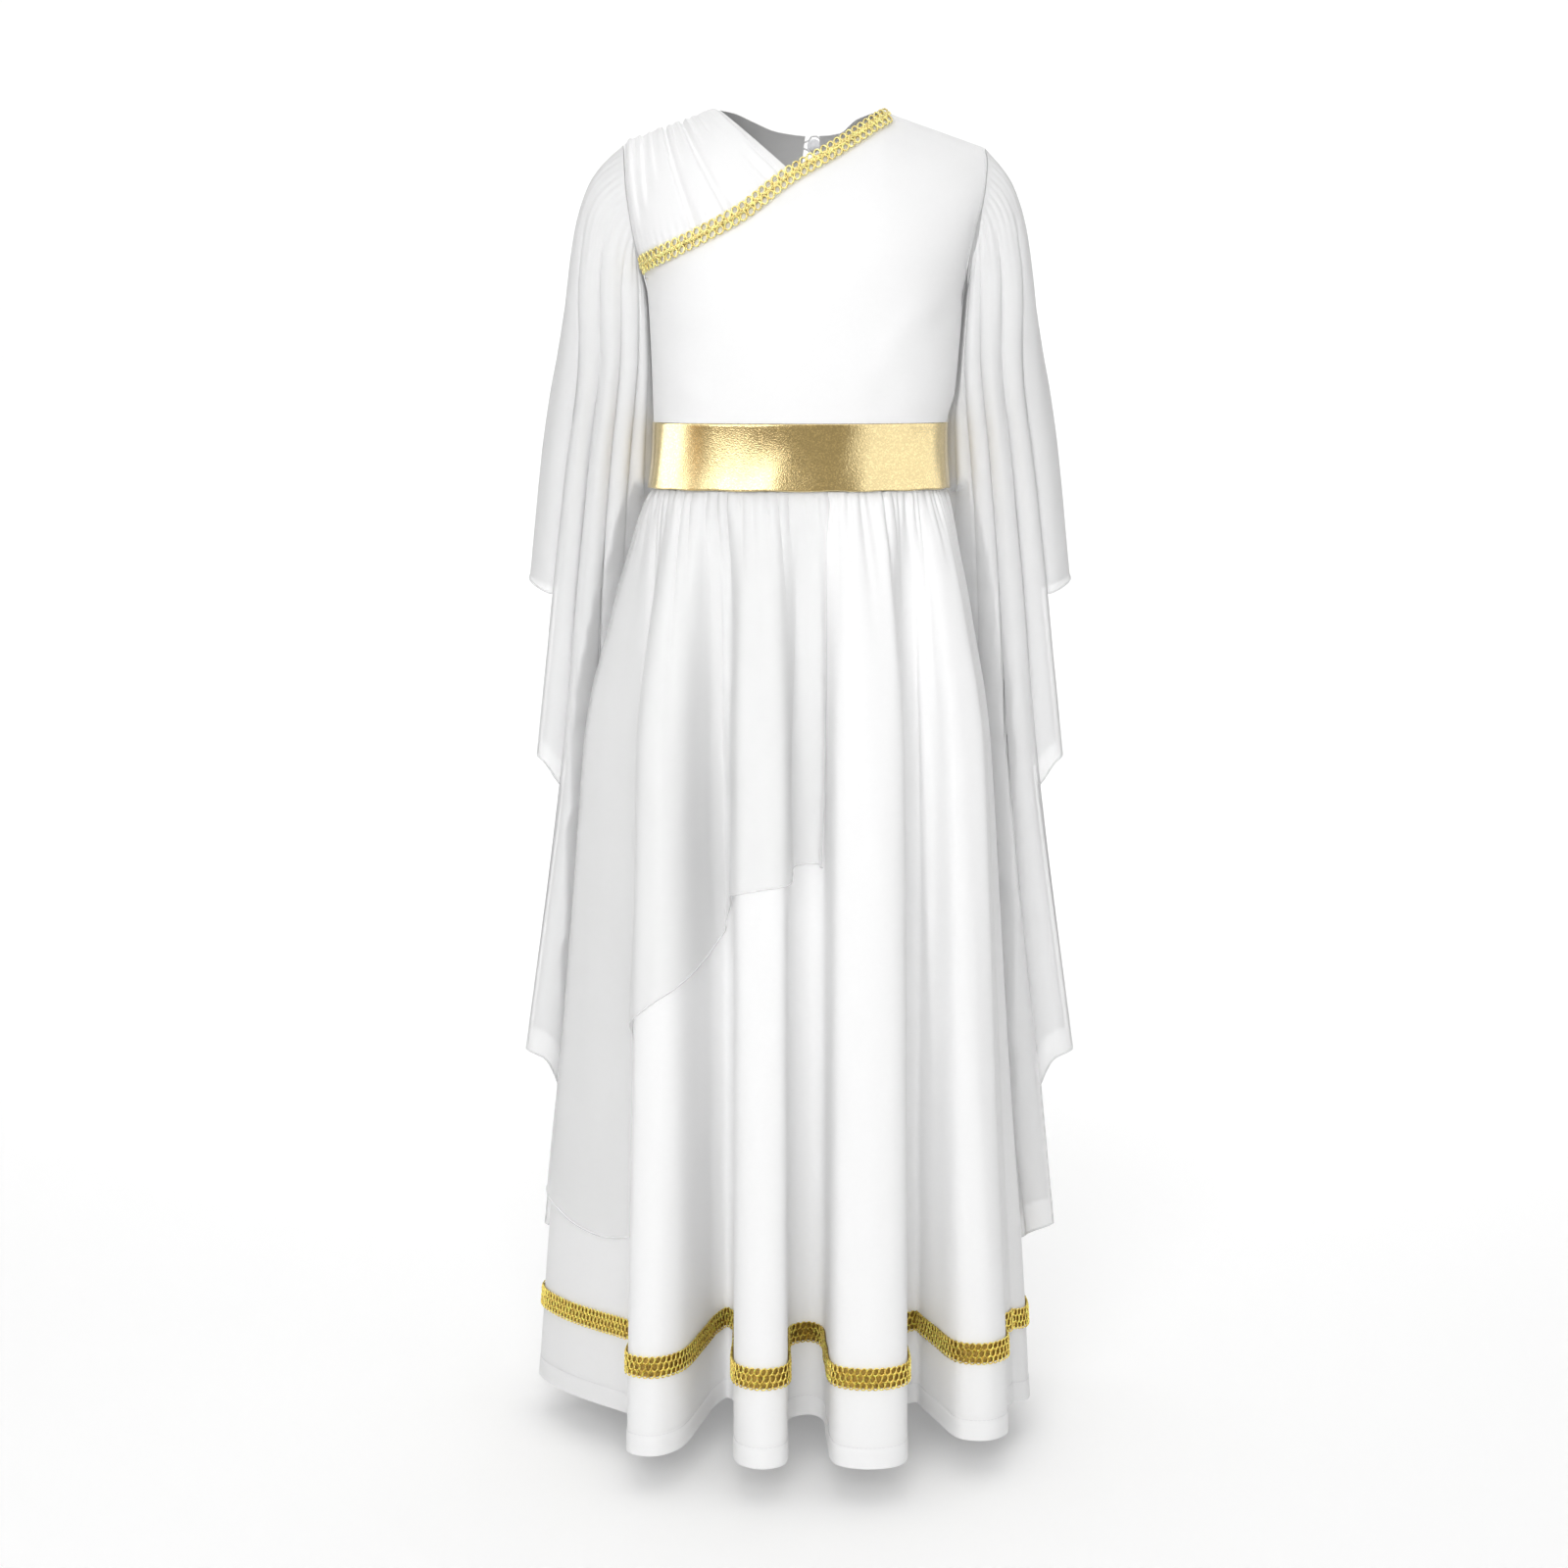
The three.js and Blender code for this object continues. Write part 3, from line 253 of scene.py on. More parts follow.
# Soft pulls in the cloth: from x0, z0 to x1, z1, with a width, and a height that is negative for a trough
FRONT_CREASES = {
    "x0": (0.139, 0.134, 0.106, 0.088, 0.112, 0.094, -0.112, -0.106, -0.070, 0.020, 0.060, 0.128),
    "z0": (-0.060, -0.112, -0.128, -0.160, -0.200, -0.216, -0.150, -0.196, -0.222, -0.222, -0.221, -0.020),
    "x1": (0.128, 0.098, 0.052, 0.030, 0.050, 0.020, -0.070, -0.058, -0.066, 0.027, 0.072, 0.080),
    "z1": (-0.122, -0.165, -0.176, -0.212, -0.221, -0.214, -0.172, -0.214, -0.186, -0.178, -0.190, -0.050),
    "width": (0.006, 0.010, 0.012, 0.013, 0.008, 0.008, 0.010, 0.009, 0.006, 0.007, 0.007, 0.012),
    "height": (-0.0024, -0.0016, 0.0014, 0.0012, -0.0012, 0.0010, -0.0010, 0.0010, -0.0008, 0.0008, -0.0009,
               0.0011),
}


def curve(table, key, name):
    """A smooth curve through one column of a table, which never overshoots"""
    at = np.array(table[key], float)
    value = np.array(table[name], float)
    order = np.argsort(at)
    at, value = at[order], value[order]
    slope = np.diff(value) / np.diff(at)
    product = slope[:-1] * slope[1:]
    total = np.where(product > 0, slope[:-1] + slope[1:], 1)
    inner = np.where(product > 0, 2 * product / total, 0)
    tangent = np.concatenate([slope[:1], inner, slope[-1:]])

    def read(wanted):
        place = np.clip(wanted, at[0], at[-1])
        i = np.clip(np.searchsorted(at, place, side="right") - 1, 0, len(at) - 2)
        span = at[i + 1] - at[i]
        s = (place - at[i]) / span
        rise = value[i + 1] - value[i]
        leaving, arriving = tangent[i] * span, tangent[i + 1] * span
        second, third = 3 * rise - 2 * leaving - arriving, leaving + arriving - 2 * rise
        return value[i] + leaving * s + second * s**2 + third * s**3

    return read


def mix(a, b, share):
    return a + (b - a) * share


def smooth(share):
    """0 below 0 and 1 above 1, with a soft slope between"""
    kept = np.clip(share, 0, 1)
    return kept * kept * (3 - 2 * kept)


torso = {name: curve(TORSO, "z", name) for name in ("left", "right", "square")}
torso.update({name: curve(DEPTH, "drop", name) for name in ("front", "back")})
armhole = {name: curve(ARMHOLE, "z", name) for name in ("left", "right")}
slant_x, slant_z = curve(SLANT, "share", "x"), curve(SLANT, "share", "z")


def shoulder_height(x):
    past = np.abs(x) - NECK_HALF
    return NECK_TOP - SHOULDER_SLOPE * 0.5 * (past + np.sqrt(past**2 + 0.003**2))


def torso_depth(face, x, z):
    """How far the cloth lies in front of, or behind, the side seams"""
    half = np.where(x < 0, torso["right"](z), torso["left"](z))
    square = torso["square"](z)
    across = np.maximum(0, 1 - np.abs(x / half) ** square) ** (1 / square)
    return torso[face](np.maximum(0, shoulder_height(x) - z)) * across


def torso_points(face, x, z):
    sign = -1 if face == "front" else 1
    return np.stack([x, sign * (torso_depth(face, x, z) + SEAM_GAP / 2), z], axis=-1)


def panel_edge(side, z):
    """The side seam, and the armhole above it, as a distance from the middle"""
    return np.where(z < UNDERARM, torso[side](z), armhole[side](z))


def on_plane(x, z):
    x, z = np.broadcast_arrays(np.asarray(x, float), np.asarray(z, float))
    return np.stack([x, z], axis=-1)


def fill_panel(bottom, top, first, last, across, upward):
    """The x and z of a grid inside four edges, each of which is a function of a share"""
    u, v = across[None, :, None], upward[:, None, None]
    low, high = bottom(across)[None], top(across)[None]
    left, right = first(upward)[:, None], last(upward)[:, None]
    corners = mix(mix(low[:, :1], low[:, -1:], u), mix(high[:, :1], high[:, -1:], u), v)
    return mix(left, right, u) + mix(low, high, v) - corners


def side_edge(side, low, high):
    sign = 1 if side == "left" else -1
    return lambda share: on_plane(sign * panel_edge(side, mix(low, high, share)), mix(low, high, share))


def shoulder_seam(side, neck_x):
    sign = 1 if side == "left" else -1
    tip = sign * float(armhole[side](NECK_TOP))
    return lambda share: on_plane(mix(tip, neck_x, share), shoulder_height(mix(tip, neck_x, share)))


def waist_edge(start, end):
    return lambda share: on_plane(mix(start, end, share), WAISTBAND_TOP + SEAM_GAP + 0 * share)


def facing(points, outward, closed=False):
    """The normals of a grid of points, on the side that outward gives"""
    down = np.gradient(points, axis=0)
    across = (np.roll(points, -1, 1) - np.roll(points, 1, 1)) / 2 if closed else np.gradient(points, axis=1)
    normals = np.cross(across, down)
    normals /= np.maximum(np.linalg.norm(normals, axis=2, keepdims=True), 1e-12)
    return normals * np.sign((normals * outward).sum())


def crease_height(x, z, creases):
    """The height of soft ridges and troughs at places on the cloth"""
    total = np.zeros_like(x)
    for x0, z0, x1, z1, width, height in zip(*creases.values()):
        along = (x1 - x0, z1 - z0)
        length = math.hypot(*along)
        share = ((x - x0) * along[0] + (z - z0) * along[1]) / length**2
        aside = ((x - x0) * along[1] - (z - z0) * along[0]) / length
        total += height * np.exp(-((aside / width) ** 2)) * smooth(share / 0.3) * smooth((1 - share) / 0.3)
    return total


def creased_panel(face, places, creases, foot_fade):
    """A flat panel laid on the body with its creases, which fade out at its foot and its top"""
    outward = (0, -1 if face == "front" else 1, 0)
    points = torso_points(face, places[..., 0], places[..., 1])
    share = np.linspace(0, 1, len(places))[:, None]
    height = crease_height(places[..., 0], places[..., 1], creases)
    height = height * smooth(share * foot_fade) * smooth((1 - share) * 12)
    points = points + facing(points, outward) * height[..., None]
    return points, facing(points, outward)


def lay_cloth(name, points, normals, material, thickness=0, closed=False):
    """A mesh on a grid of points: one layer, or a wall. Its UV map is the flat cloth, in metres"""
    rows, columns = points.shape[:2]
    wide = np.concatenate([points, points[:, :1]], axis=1) if closed else points
    index = np.arange(rows * columns).reshape(rows, columns)
    index = np.concatenate([index, index[:, :1]], axis=1) if closed else index
    along = np.linalg.norm(np.diff(wide, axis=1), axis=2).cumsum(axis=1)
    along = np.concatenate([np.zeros((rows, 1)), along], axis=1)
    down = np.linalg.norm(np.diff(wide, axis=0), axis=2).cumsum(axis=0)
    down = np.concatenate([np.zeros((1, wide.shape[1])), down], axis=0)
    flat = np.stack([along - along.mean(axis=1, keepdims=True), down], axis=-1).reshape(-1, 2)

    def quads_of(grid):
        return np.stack([grid[:-1, :-1], grid[:-1, 1:], grid[1:, 1:], grid[1:, :-1]], axis=-1).reshape(-1, 4)

    faces = quads_of(index)
    corners = quads_of(np.arange(rows * wide.shape[1]).reshape(rows, -1))
    vertices = points.reshape(-1, 3)
    if thickness:
        count = len(vertices)
        vertices = np.concatenate([vertices, vertices - normals.reshape(-1, 3) * thickness])
        flat_index = np.arange(rows * wide.shape[1]).reshape(rows, -1)
        rims, rim_corners = [], []
        edges = [(index[0, 1:], index[0, :-1], flat_index[0, 1:], flat_index[0, :-1]),
                 (index[-1, :-1], index[-1, 1:], flat_index[-1, :-1], flat_index[-1, 1:])]
        if not closed:
            edges.append((index[:-1, 0], index[1:, 0], flat_index[:-1, 0], flat_index[1:, 0]))
            edges.append((index[1:, -1], index[:-1, -1], flat_index[1:, -1], flat_index[:-1, -1]))
        for start, end, flat_start, flat_end in edges:
            rims.append(np.stack([start, end, end + count, start + count], axis=-1))
            rim_corners.append(np.stack([flat_start, flat_end, flat_end, flat_start], axis=-1))
        faces = np.concatenate([faces, faces[:, ::-1] + count, *rims])
        corners = np.concatenate([corners, corners[:, ::-1], *rim_corners])
    first = vertices[faces[0]]
    if np.dot(np.cross(first[1] - first[0], first[3] - first[0]), normals[0, 0]) < 0:
        faces, corners = faces[:, ::-1], corners[:, ::-1]
    return make_piece(name, vertices, faces, material, flat[corners.ravel()])


def make_piece(name, vertices, faces, material, flat_corners):
    """A smooth mesh that moves with the dress, from vertices, four-sided faces and its UV map"""
    mesh = bpy.data.meshes.new(name)
    mesh.from_pydata(vertices.tolist(), [], faces.tolist())
    pattern = mesh.uv_layers.new(name="pattern")
    pattern.data.foreach_set("uv", flat_corners.astype(np.float32).ravel())
    mesh.shade_smooth()
    mesh.set_sharp_from_angle(angle=math.radians(72))
    mesh.materials.append(material)
    piece = bpy.data.objects.new(name, mesh)
    bpy.context.scene.collection.objects.link(piece)
    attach(piece, "root")
    return piece


def new_group(name, inputs, outputs):
    """A node group with named number inputs and outputs, and its two end nodes"""
    tree = bpy.data.node_groups.new(name, "ShaderNodeTree")
    for label, value in inputs.items():
        tree.interface.new_socket(label, in_out="INPUT", socket_type="NodeSocketFloat").default_value = value
    for label in outputs:
        tree.interface.new_socket(label, in_out="OUTPUT", socket_type="NodeSocketFloat")
    return tree, tree.nodes.new("NodeGroupInput"), tree.nodes.new("NodeGroupOutput")


def use_group(tree, name, **values):
    group = tree.nodes.new("ShaderNodeGroup")
    group.node_tree = bpy.data.node_groups[name]
    for label, value in values.items():
        group.inputs[label].default_value = value
    return group


# Fine knitted loops: wales run down the cloth and courses across it
knit, knit_in, knit_out = new_group("knit", {"Stitches": 1400.0}, ("Height", "Fuzz"))
knit_map = add_node(knit, "ShaderNodeUVMap", uv_map="pattern")
knit_split = add_node(knit, "ShaderNodeSeparateXYZ", {0: knit_map.outputs[0]})
wale, course = (math_node(knit, "MULTIPLY", knit_split.outputs[axis], knit_in.outputs["Stitches"])
                for axis in (0, 1))
wale_wave = math_node(knit, "ABSOLUTE", math_node(knit, "SINE", math_node(knit, "MULTIPLY", wale, math.pi)))
slanted = math_node(knit, "ADD", math_node(knit, "MULTIPLY", course, math.tau),
                    math_node(knit, "MULTIPLY", wale_wave, 2.4))
course_wave = math_node(knit, "ADD", math_node(knit, "MULTIPLY", math_node(knit, "SINE", slanted), 0.5), 0.5)
knit_height = math_node(knit, "MULTIPLY", wale_wave, course_wave)
knit_fuzz = add_node(knit, "ShaderNodeTexNoise", {
    "Vector": knit_map.outputs[0], "Scale": 260.0, "Detail": 5.0, "Roughness": 0.7})
knit.links.new(knit_height, knit_out.inputs["Height"])
knit.links.new(knit_fuzz.outputs["Fac"], knit_out.inputs["Fuzz"])

# Uneven tone: a little darker and lighter in soft patches, as handled cloth is
tone, tone_in, tone_out = new_group("cloth_tone", {"Patch": 9.0, "Depth": 0.03}, ("Shade",))
tone_place = add_node(tone, "ShaderNodeTexCoord")
tone_noise = add_node(tone, "ShaderNodeTexNoise", {
    "Vector": tone_place.outputs["Object"], "Scale": tone_in.outputs["Patch"], "Detail": 3.0})
tone_shift = math_node(tone, "MULTIPLY", math_node(tone, "SUBTRACT", tone_noise.outputs["Fac"], 0.5),
                       tone_in.outputs["Depth"])
tone.links.new(math_node(tone, "ADD", 1.0, tone_shift), tone_out.inputs["Shade"])


def toned(tree, colour, patch, depth, grain_and_glints=None, grain_and_glint_depth=0.0):
    """A colour that the cloth's uneven tone, and a grain, make lighter and darker; on gold thread the grain
    is painted glints and shade
    """
    shade = use_group(tree, "cloth_tone", Patch=patch, Depth=depth).outputs["Shade"]
    if grain_and_glints is not None:
        speck = math_node(tree, "MULTIPLY", math_node(tree, "SUBTRACT", grain_and_glints, 0.5), grain_and_glint_depth)
        shade = math_node(tree, "ADD", shade, speck)
    lit = add_node(tree, "ShaderNodeVectorMath", {0: colour, "Scale": shade}, operation="SCALE")
    return lit.outputs["Vector"]


def raise_grain(tree, shader, height, distance, strength):
    """A fine relief on a material, from a height that changes over its surface"""
    bump = add_node(tree, "ShaderNodeBump", {"Strength": strength, "Distance": distance, "Height": height})
    tree.links.new(bump.outputs[0], shader.inputs["Normal"])


JERSEY_WHITE = (0.905, 0.905, 0.907)
FUZZ_RISE = 1.4
white_jersey, jersey_tree, jersey_shader = new_material("white_jersey", {
    "Roughness": 0.7, "Specular IOR Level": 0.3, "Sheen Weight": 0.18, "Sheen Roughness": 0.45})
jersey_knit = use_group(jersey_tree, "knit", Stitches=1400.0)
jersey_tree.links.new(toned(jersey_tree, JERSEY_WHITE, 9.0, 0.03, jersey_knit.outputs["Fuzz"], 0.03),
                      jersey_shader.inputs["Base Color"])
jersey_fuzz = math_node(jersey_tree, "MULTIPLY", jersey_knit.outputs["Fuzz"], FUZZ_RISE)
jersey_height = math_node(jersey_tree, "ADD", jersey_knit.outputs["Height"], jersey_fuzz)
raise_grain(jersey_tree, jersey_shader, jersey_height, 0.0002, 0.35)

front_low = WAISTBAND_TOP + SEAM_GAP


def front_top(share):
    along = share / SLANT_PART
    seam = shoulder_seam("left", SLANT["x"][-1])(1 - (share - SLANT_PART) / (1 - SLANT_PART))
    slant = on_plane(slant_x(along), slant_z(along) - SEAM_GAP / 2)
    return np.where((share > SLANT_PART)[..., None], seam, slant)


def rounded_shares(count, roundness):
    even = np.linspace(0, 1, count + 1)
    return mix(even, 0.5 - 0.5 * np.cos(np.pi * even), roundness)


def rising_shares(count, closer):
    return 1 - (1 - np.linspace(0, 1, count + 1)) ** closer


front_places = fill_panel(
    waist_edge(-float(torso["right"](front_low)), float(torso["left"](front_low))), front_top,
    side_edge("right", front_low, SLANT["z"][0]),
    side_edge("left", front_low, float(shoulder_height(ARMHOLE["left"][-1]))),
    rounded_shares(FRONT_GRID[0], 0.5), rising_shares(FRONT_GRID[1], 1.4))
front_points, front_normals = creased_panel("front", front_places, FRONT_CREASES, 6)
bodice_front = lay_cloth("bodice_front_cloth", front_points, front_normals, white_jersey,
                         JERSEY)
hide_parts("bodice_front")

# The gathered panel fills the right shoulder above the slant. It is the same jersey, pleated small into
# the shoulder seam, and gathered again under the braid.
DRAPE_GRID = (190, 60)
DRAPE_SLANT_PART = 0.62
DRAPE_SWELL = 0.0034
# Pleats by their share of the way from the armhole to the neck, at the shoulder and at the slant. Each goes
# from one share of the way up to another, where -1 and 2 are past the cloth's edges
PLEATS = {
    "top": (0.10, 0.20, 0.30, 0.42, 0.50, 0.597, 0.68, 0.76, 0.84, 0.92),
    "bottom": (0.12, 0.20, 0.32, 0.437, 0.52, 0.605, 0.70, 0.78, 0.87, 0.94),
    "width": (0.020, 0.022, 0.018, 0.012, 0.016, 0.012, 0.016, 0.015, 0.014, 0.012),
    "depth": (0.0013, 0.0020, 0.0013, 0.0042, 0.0013, 0.0042, 0.0012, 0.0010, 0.0014, 0.0015),
    "from": (0.15, 0.30, 0.45, -1, 0.50, -1, 0.55, 0.60, -1, -1),
    "to": (2, 2, 2, 2, 2, 2, 2, 2, 0.45, 0.60),
}
# A pleat rises slowly on its neck side and drops sharply on its armhole side
PLEAT_RISE = 2.6
PLEAT_DROP = 0.7
PUCKERS = 26
PUCKER_HEIGHT = {"slant": 0.00035, "shoulder": 0.00030}


def drape_bottom(share):
    along = share * DRAPE_SLANT_PART
    return on_plane(slant_x(along), slant_z(along) + SEAM_GAP / 2)


drape_top = shoulder_seam("right", -NECK_HALF)
drape_u = np.linspace(0, 1, DRAPE_GRID[0] + 1)
drape_v = rising_shares(DRAPE_GRID[1], 1.3)
v_foot, v_head = drape_bottom(np.ones(1))[0], drape_top(np.ones(1))[0]
drape_places = fill_panel(
    drape_bottom, drape_top, side_edge("right", SLANT["z"][0], float(drape_top(np.zeros(1))[0][1])),
    lambda share: mix(v_foot, v_head, share[:, None]), drape_u, drape_v)
drape_points = torso_points("front", drape_places[..., 0], drape_places[..., 1])
drape_height = DRAPE_SWELL + np.zeros(drape_points.shape[:2])
for top, bottom, width, depth, start, end in zip(*PLEATS.values()):
    aside = drape_u[None, :] - mix(bottom, top, drape_v[:, None])
    pleat = np.exp(-((aside / (np.where(aside > 0, PLEAT_RISE, PLEAT_DROP) * width)) ** 2))
    length = smooth((drape_v - start) / 0.25) * smooth((end - drape_v) / 0.3)
    drape_height -= depth * pleat * length[:, None]
puckers = np.sin(math.tau * (PUCKERS * drape_u + 0.6 * np.sin(11 * drape_u)))[None, :]
drape_height += PUCKER_HEIGHT["slant"] * puckers * np.exp(-drape_v / 0.10)[:, None]
drape_height += PUCKER_HEIGHT["shoulder"] * np.roll(puckers, 7) * np.exp(-(1 - drape_v) / 0.14)[:, None]
drape_frame = (smooth(drape_u * 14) * smooth((1 - drape_u) * 14))[None, :] * smooth(drape_v * 30)[:, None]
drape_swell = np.maximum(drape_height, 0) * drape_frame
drape_points = drape_points + facing(drape_points, (0, -1, 0)) * drape_swell[..., None]
drape_normals = facing(drape_points, (0, -1, 0))
shoulder_drape = lay_cloth("shoulder_drape_cloth", drape_points, drape_normals, white_jersey,
                           JERSEY)
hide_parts("shoulder_drape")

# The back is two halves of the same jersey. A seam joins them from the waist up to the slit that opens
# at the neck, and their neck edges are turned in.
# The back's neck edge, by the share of the way from the right shoulder to the left
BACK_NECK = {
    "share": (0, 1 / 7, 2 / 7, 3 / 7, 4 / 7, 5 / 7, 6 / 7, 1),
    "x": (-0.0615, -0.050, -0.034, -0.014, 0.010, 0.027, 0.043, 0.062),
    "z": (0.013, 0.0115, 0.0063, -0.0003, -0.003, -0.0015, 0.008, 0.013),
}
SLIT = {"x": 0.010, "foot": -0.100, "top": -0.003, "gape": 0.007, "waist_x": 0.0004}
BACK_MIDDLE = 4 / 7
BACK_SEAM_PART = 0.55
BACK_GRID = (90, 90)
BACK_CREASES = {
    "x0": (0.110, 0.104, -0.110, -0.104, 0.030, -0.034, 0.012, -0.010, 0.120, -0.114),
    "z0": (-0.128, -0.176, -0.134, -0.180, -0.110, -0.120, -0.200, -0.196, -0.060, -0.056),
    "x1": (0.048, 0.040, -0.046, -0.038, 0.010, -0.006, 0.050, -0.052, 0.092, -0.086),
    "z1": (-0.160, -0.206, -0.166, -0.210, -0.150, -0.166, -0.220, -0.218, -0.112, -0.108),
    "width": (0.010, 0.009, 0.010, 0.009, 0.008, 0.008, 0.007, 0.007, 0.009, 0.009),
    "height": (-0.0014, 0.0012, -0.0013, 0.0012, -0.0009, 0.0009, -0.0010, -0.0010, -0.0014, -0.0013),
}
neck_x, neck_z = curve(BACK_NECK, "share", "x"), curve(BACK_NECK, "share", "z")


def back_panel(side):
    sign = 1 if side == "left" else -1
    neck_end = 1 if side == "left" else 0
    seam = shoulder_seam(side, float(neck_x(neck_end)))

    def centre(share):
        z = mix(front_low, SLIT["top"], share)
        opened = np.clip((z - SLIT["foot"]) / (SLIT["top"] - SLIT["foot"]), 0, 1)
        gape = SLIT["gape"] * np.sin(np.pi * opened * 0.72)
        return on_plane(mix(SLIT["waist_x"], SLIT["x"], share) + sign * (SEAM_GAP / 2 + gape), z)

    middle_shift = abs(float(centre(np.ones(1))[0][0]) - SLIT["x"])

    def top(share):
        along = np.clip((share - BACK_SEAM_PART) / (1 - BACK_SEAM_PART), 0, 1)
        neck_share = mix(neck_end, BACK_MIDDLE, along)
        neck = on_plane(neck_x(neck_share) + sign * along * middle_shift, neck_z(neck_share))
        shoulder = seam(np.clip(share / BACK_SEAM_PART, 0, 1))
        return np.where((share < BACK_SEAM_PART)[..., None], shoulder, neck)

    edge_x = sign * float(torso[side](front_low))
    places = fill_panel(waist_edge(edge_x, float(centre(np.zeros(1))[0][0])), top,
                        side_edge(side, front_low, float(seam(np.zeros(1))[0][1])), centre,
                        rounded_shares(BACK_GRID[0], 0.25) ** 1.15, rising_shares(BACK_GRID[1], 1.5))
    return creased_panel("back", places, BACK_CREASES, 12)


back_grids = {side: back_panel(side) for side in ("left", "right")}
for side, (points, normals) in back_grids.items():
    back = lay_cloth(f"bodice_back_{side}_cloth", points, normals, white_jersey, JERSEY)
    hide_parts(f"bodice_back_{side}")

# The waistband is a ring of stretch cloth printed with gold foil. Its edges are turned in and sewn, and
# the foil is finely crackled, so it is brighter and duller in grains.
BAND_CLOTH = 0.0012
WAISTBAND_BOTTOM = -0.2762
WAIST_DROP = 0.238
BAND_GRID = (360, 26)
BAND_TILT = 0.0036
BAND_ROLL = 0.0005
BAND_RIPPLES = (0.00025, 0.00012)
GOLD_FOIL = (0.77, 0.64, 0.36)


def waist_ring(angles, z, out):
    """Places round the waist at an angle, 0 at the left side, and a distance outside it"""
    power = 2 / torso["square"](z)
    half = np.where(np.cos(angles) < 0, torso["right"](z), torso["left"](z)) + out
    depth = np.where(np.sin(angles) < 0, torso["front"](WAIST_DROP), torso["back"](WAIST_DROP)) + out
    around = (np.cos(angles), np.sin(angles))
    x, y = (reach * np.sign(way) * np.abs(way) ** power for reach, way in zip((half, depth), around))
    return np.stack([x, y, z + 0 * angles], axis=-1)


foil_grain, foil_in, foil_out = new_group("foil_grain", {"Grain": 1100.0}, ("Height", "Glint", "Rub"))
foil_place = add_node(foil_grain, "ShaderNodeTexCoord")
foil_cells = add_node(foil_grain, "ShaderNodeTexVoronoi", {
    "Vector": foil_place.outputs["Object"], "Scale": foil_in.outputs["Grain"]})
foil_rub = add_node(foil_grain, "ShaderNodeTexNoise", {
    "Vector": foil_place.outputs["Object"], "Scale": 26.0, "Detail": 6.0, "Roughness": 0.65})
foil_split = add_node(foil_grain, "ShaderNodeSeparateColor", {0: foil_cells.outputs["Color"]})
foil_glint = math_node(foil_grain, "POWER", foil_split.outputs[0], 3.0)
foil_grain.links.new(foil_cells.outputs["Distance"], foil_out.inputs["Height"])
foil_grain.links.new(foil_glint, foil_out.inputs["Glint"])
foil_grain.links.new(foil_rub.outputs["Fac"], foil_out.inputs["Rub"])

gold_foil, foil_tree, foil_shader = new_material("gold_foil", {"Metallic": 1.0})
band_grain = use_group(foil_tree, "foil_grain", Grain=1000.0)
foil_colour = toned(foil_tree, GOLD_FOIL, 22.0, 0.12, band_grain.outputs["Glint"], 0.30)
foil_tree.links.new(foil_colour, foil_shader.inputs["Base Color"])
foil_tree.links.new(remap(foil_tree, band_grain.outputs["Rub"], 0.3, 0.7, 0.10, 0.18),
                    foil_shader.inputs["Roughness"])
foil_height = math_node(foil_tree, "ADD", band_grain.outputs["Height"], band_grain.outputs["Rub"])
raise_grain(foil_tree, foil_shader, foil_height, 0.00010, 0.6)

band_angles = np.linspace(0, math.tau, BAND_GRID[0], endpoint=False)[None, :]
band_share = rounded_shares(BAND_GRID[1], 0.9)[:, None]
band_z = mix(WAISTBAND_TOP, WAISTBAND_BOTTOM, band_share)
rolled = np.minimum(band_share, 1 - band_share) * (WAISTBAND_TOP - WAISTBAND_BOTTOM)
band_out = BAND_CLOTH + BAND_TILT * band_share**2.2 - BAND_ROLL * np.exp(-rolled / 0.0003)
band_ripple = BAND_RIPPLES[0] * np.sin(9 * band_angles + 1.3) * np.sin(np.pi * band_share) ** 1.5
band_ripple = band_ripple + BAND_RIPPLES[1] * np.sin(23 * band_angles + 4 * band_share) * band_share
band_points = waist_ring(band_angles, band_z, band_out + band_ripple)
band_points[..., 2] += 0.0003 * np.sin(17 * band_angles) * band_share**4
band_normals = facing(band_points, band_points * (1, 1, 0), closed=True)
waistband = lay_cloth("waistband_foil", band_points, band_normals, gold_foil, BAND_CLOTH,
                      closed=True)
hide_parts("waistband")

# The skirt is two wide pieces of white jersey, seamed at the sides and gathered small into the waistband.
# It hangs in twelve organ-pipe folds, and its foot is turned up in a stitched hem.
SKIRT_TOP = -0.2765
HEM = -1.011
BRAID_TOP = -0.9333
BRAID_BOTTOM = -0.950
KNOTS = 8
VALLEY_LIFT = 0.005
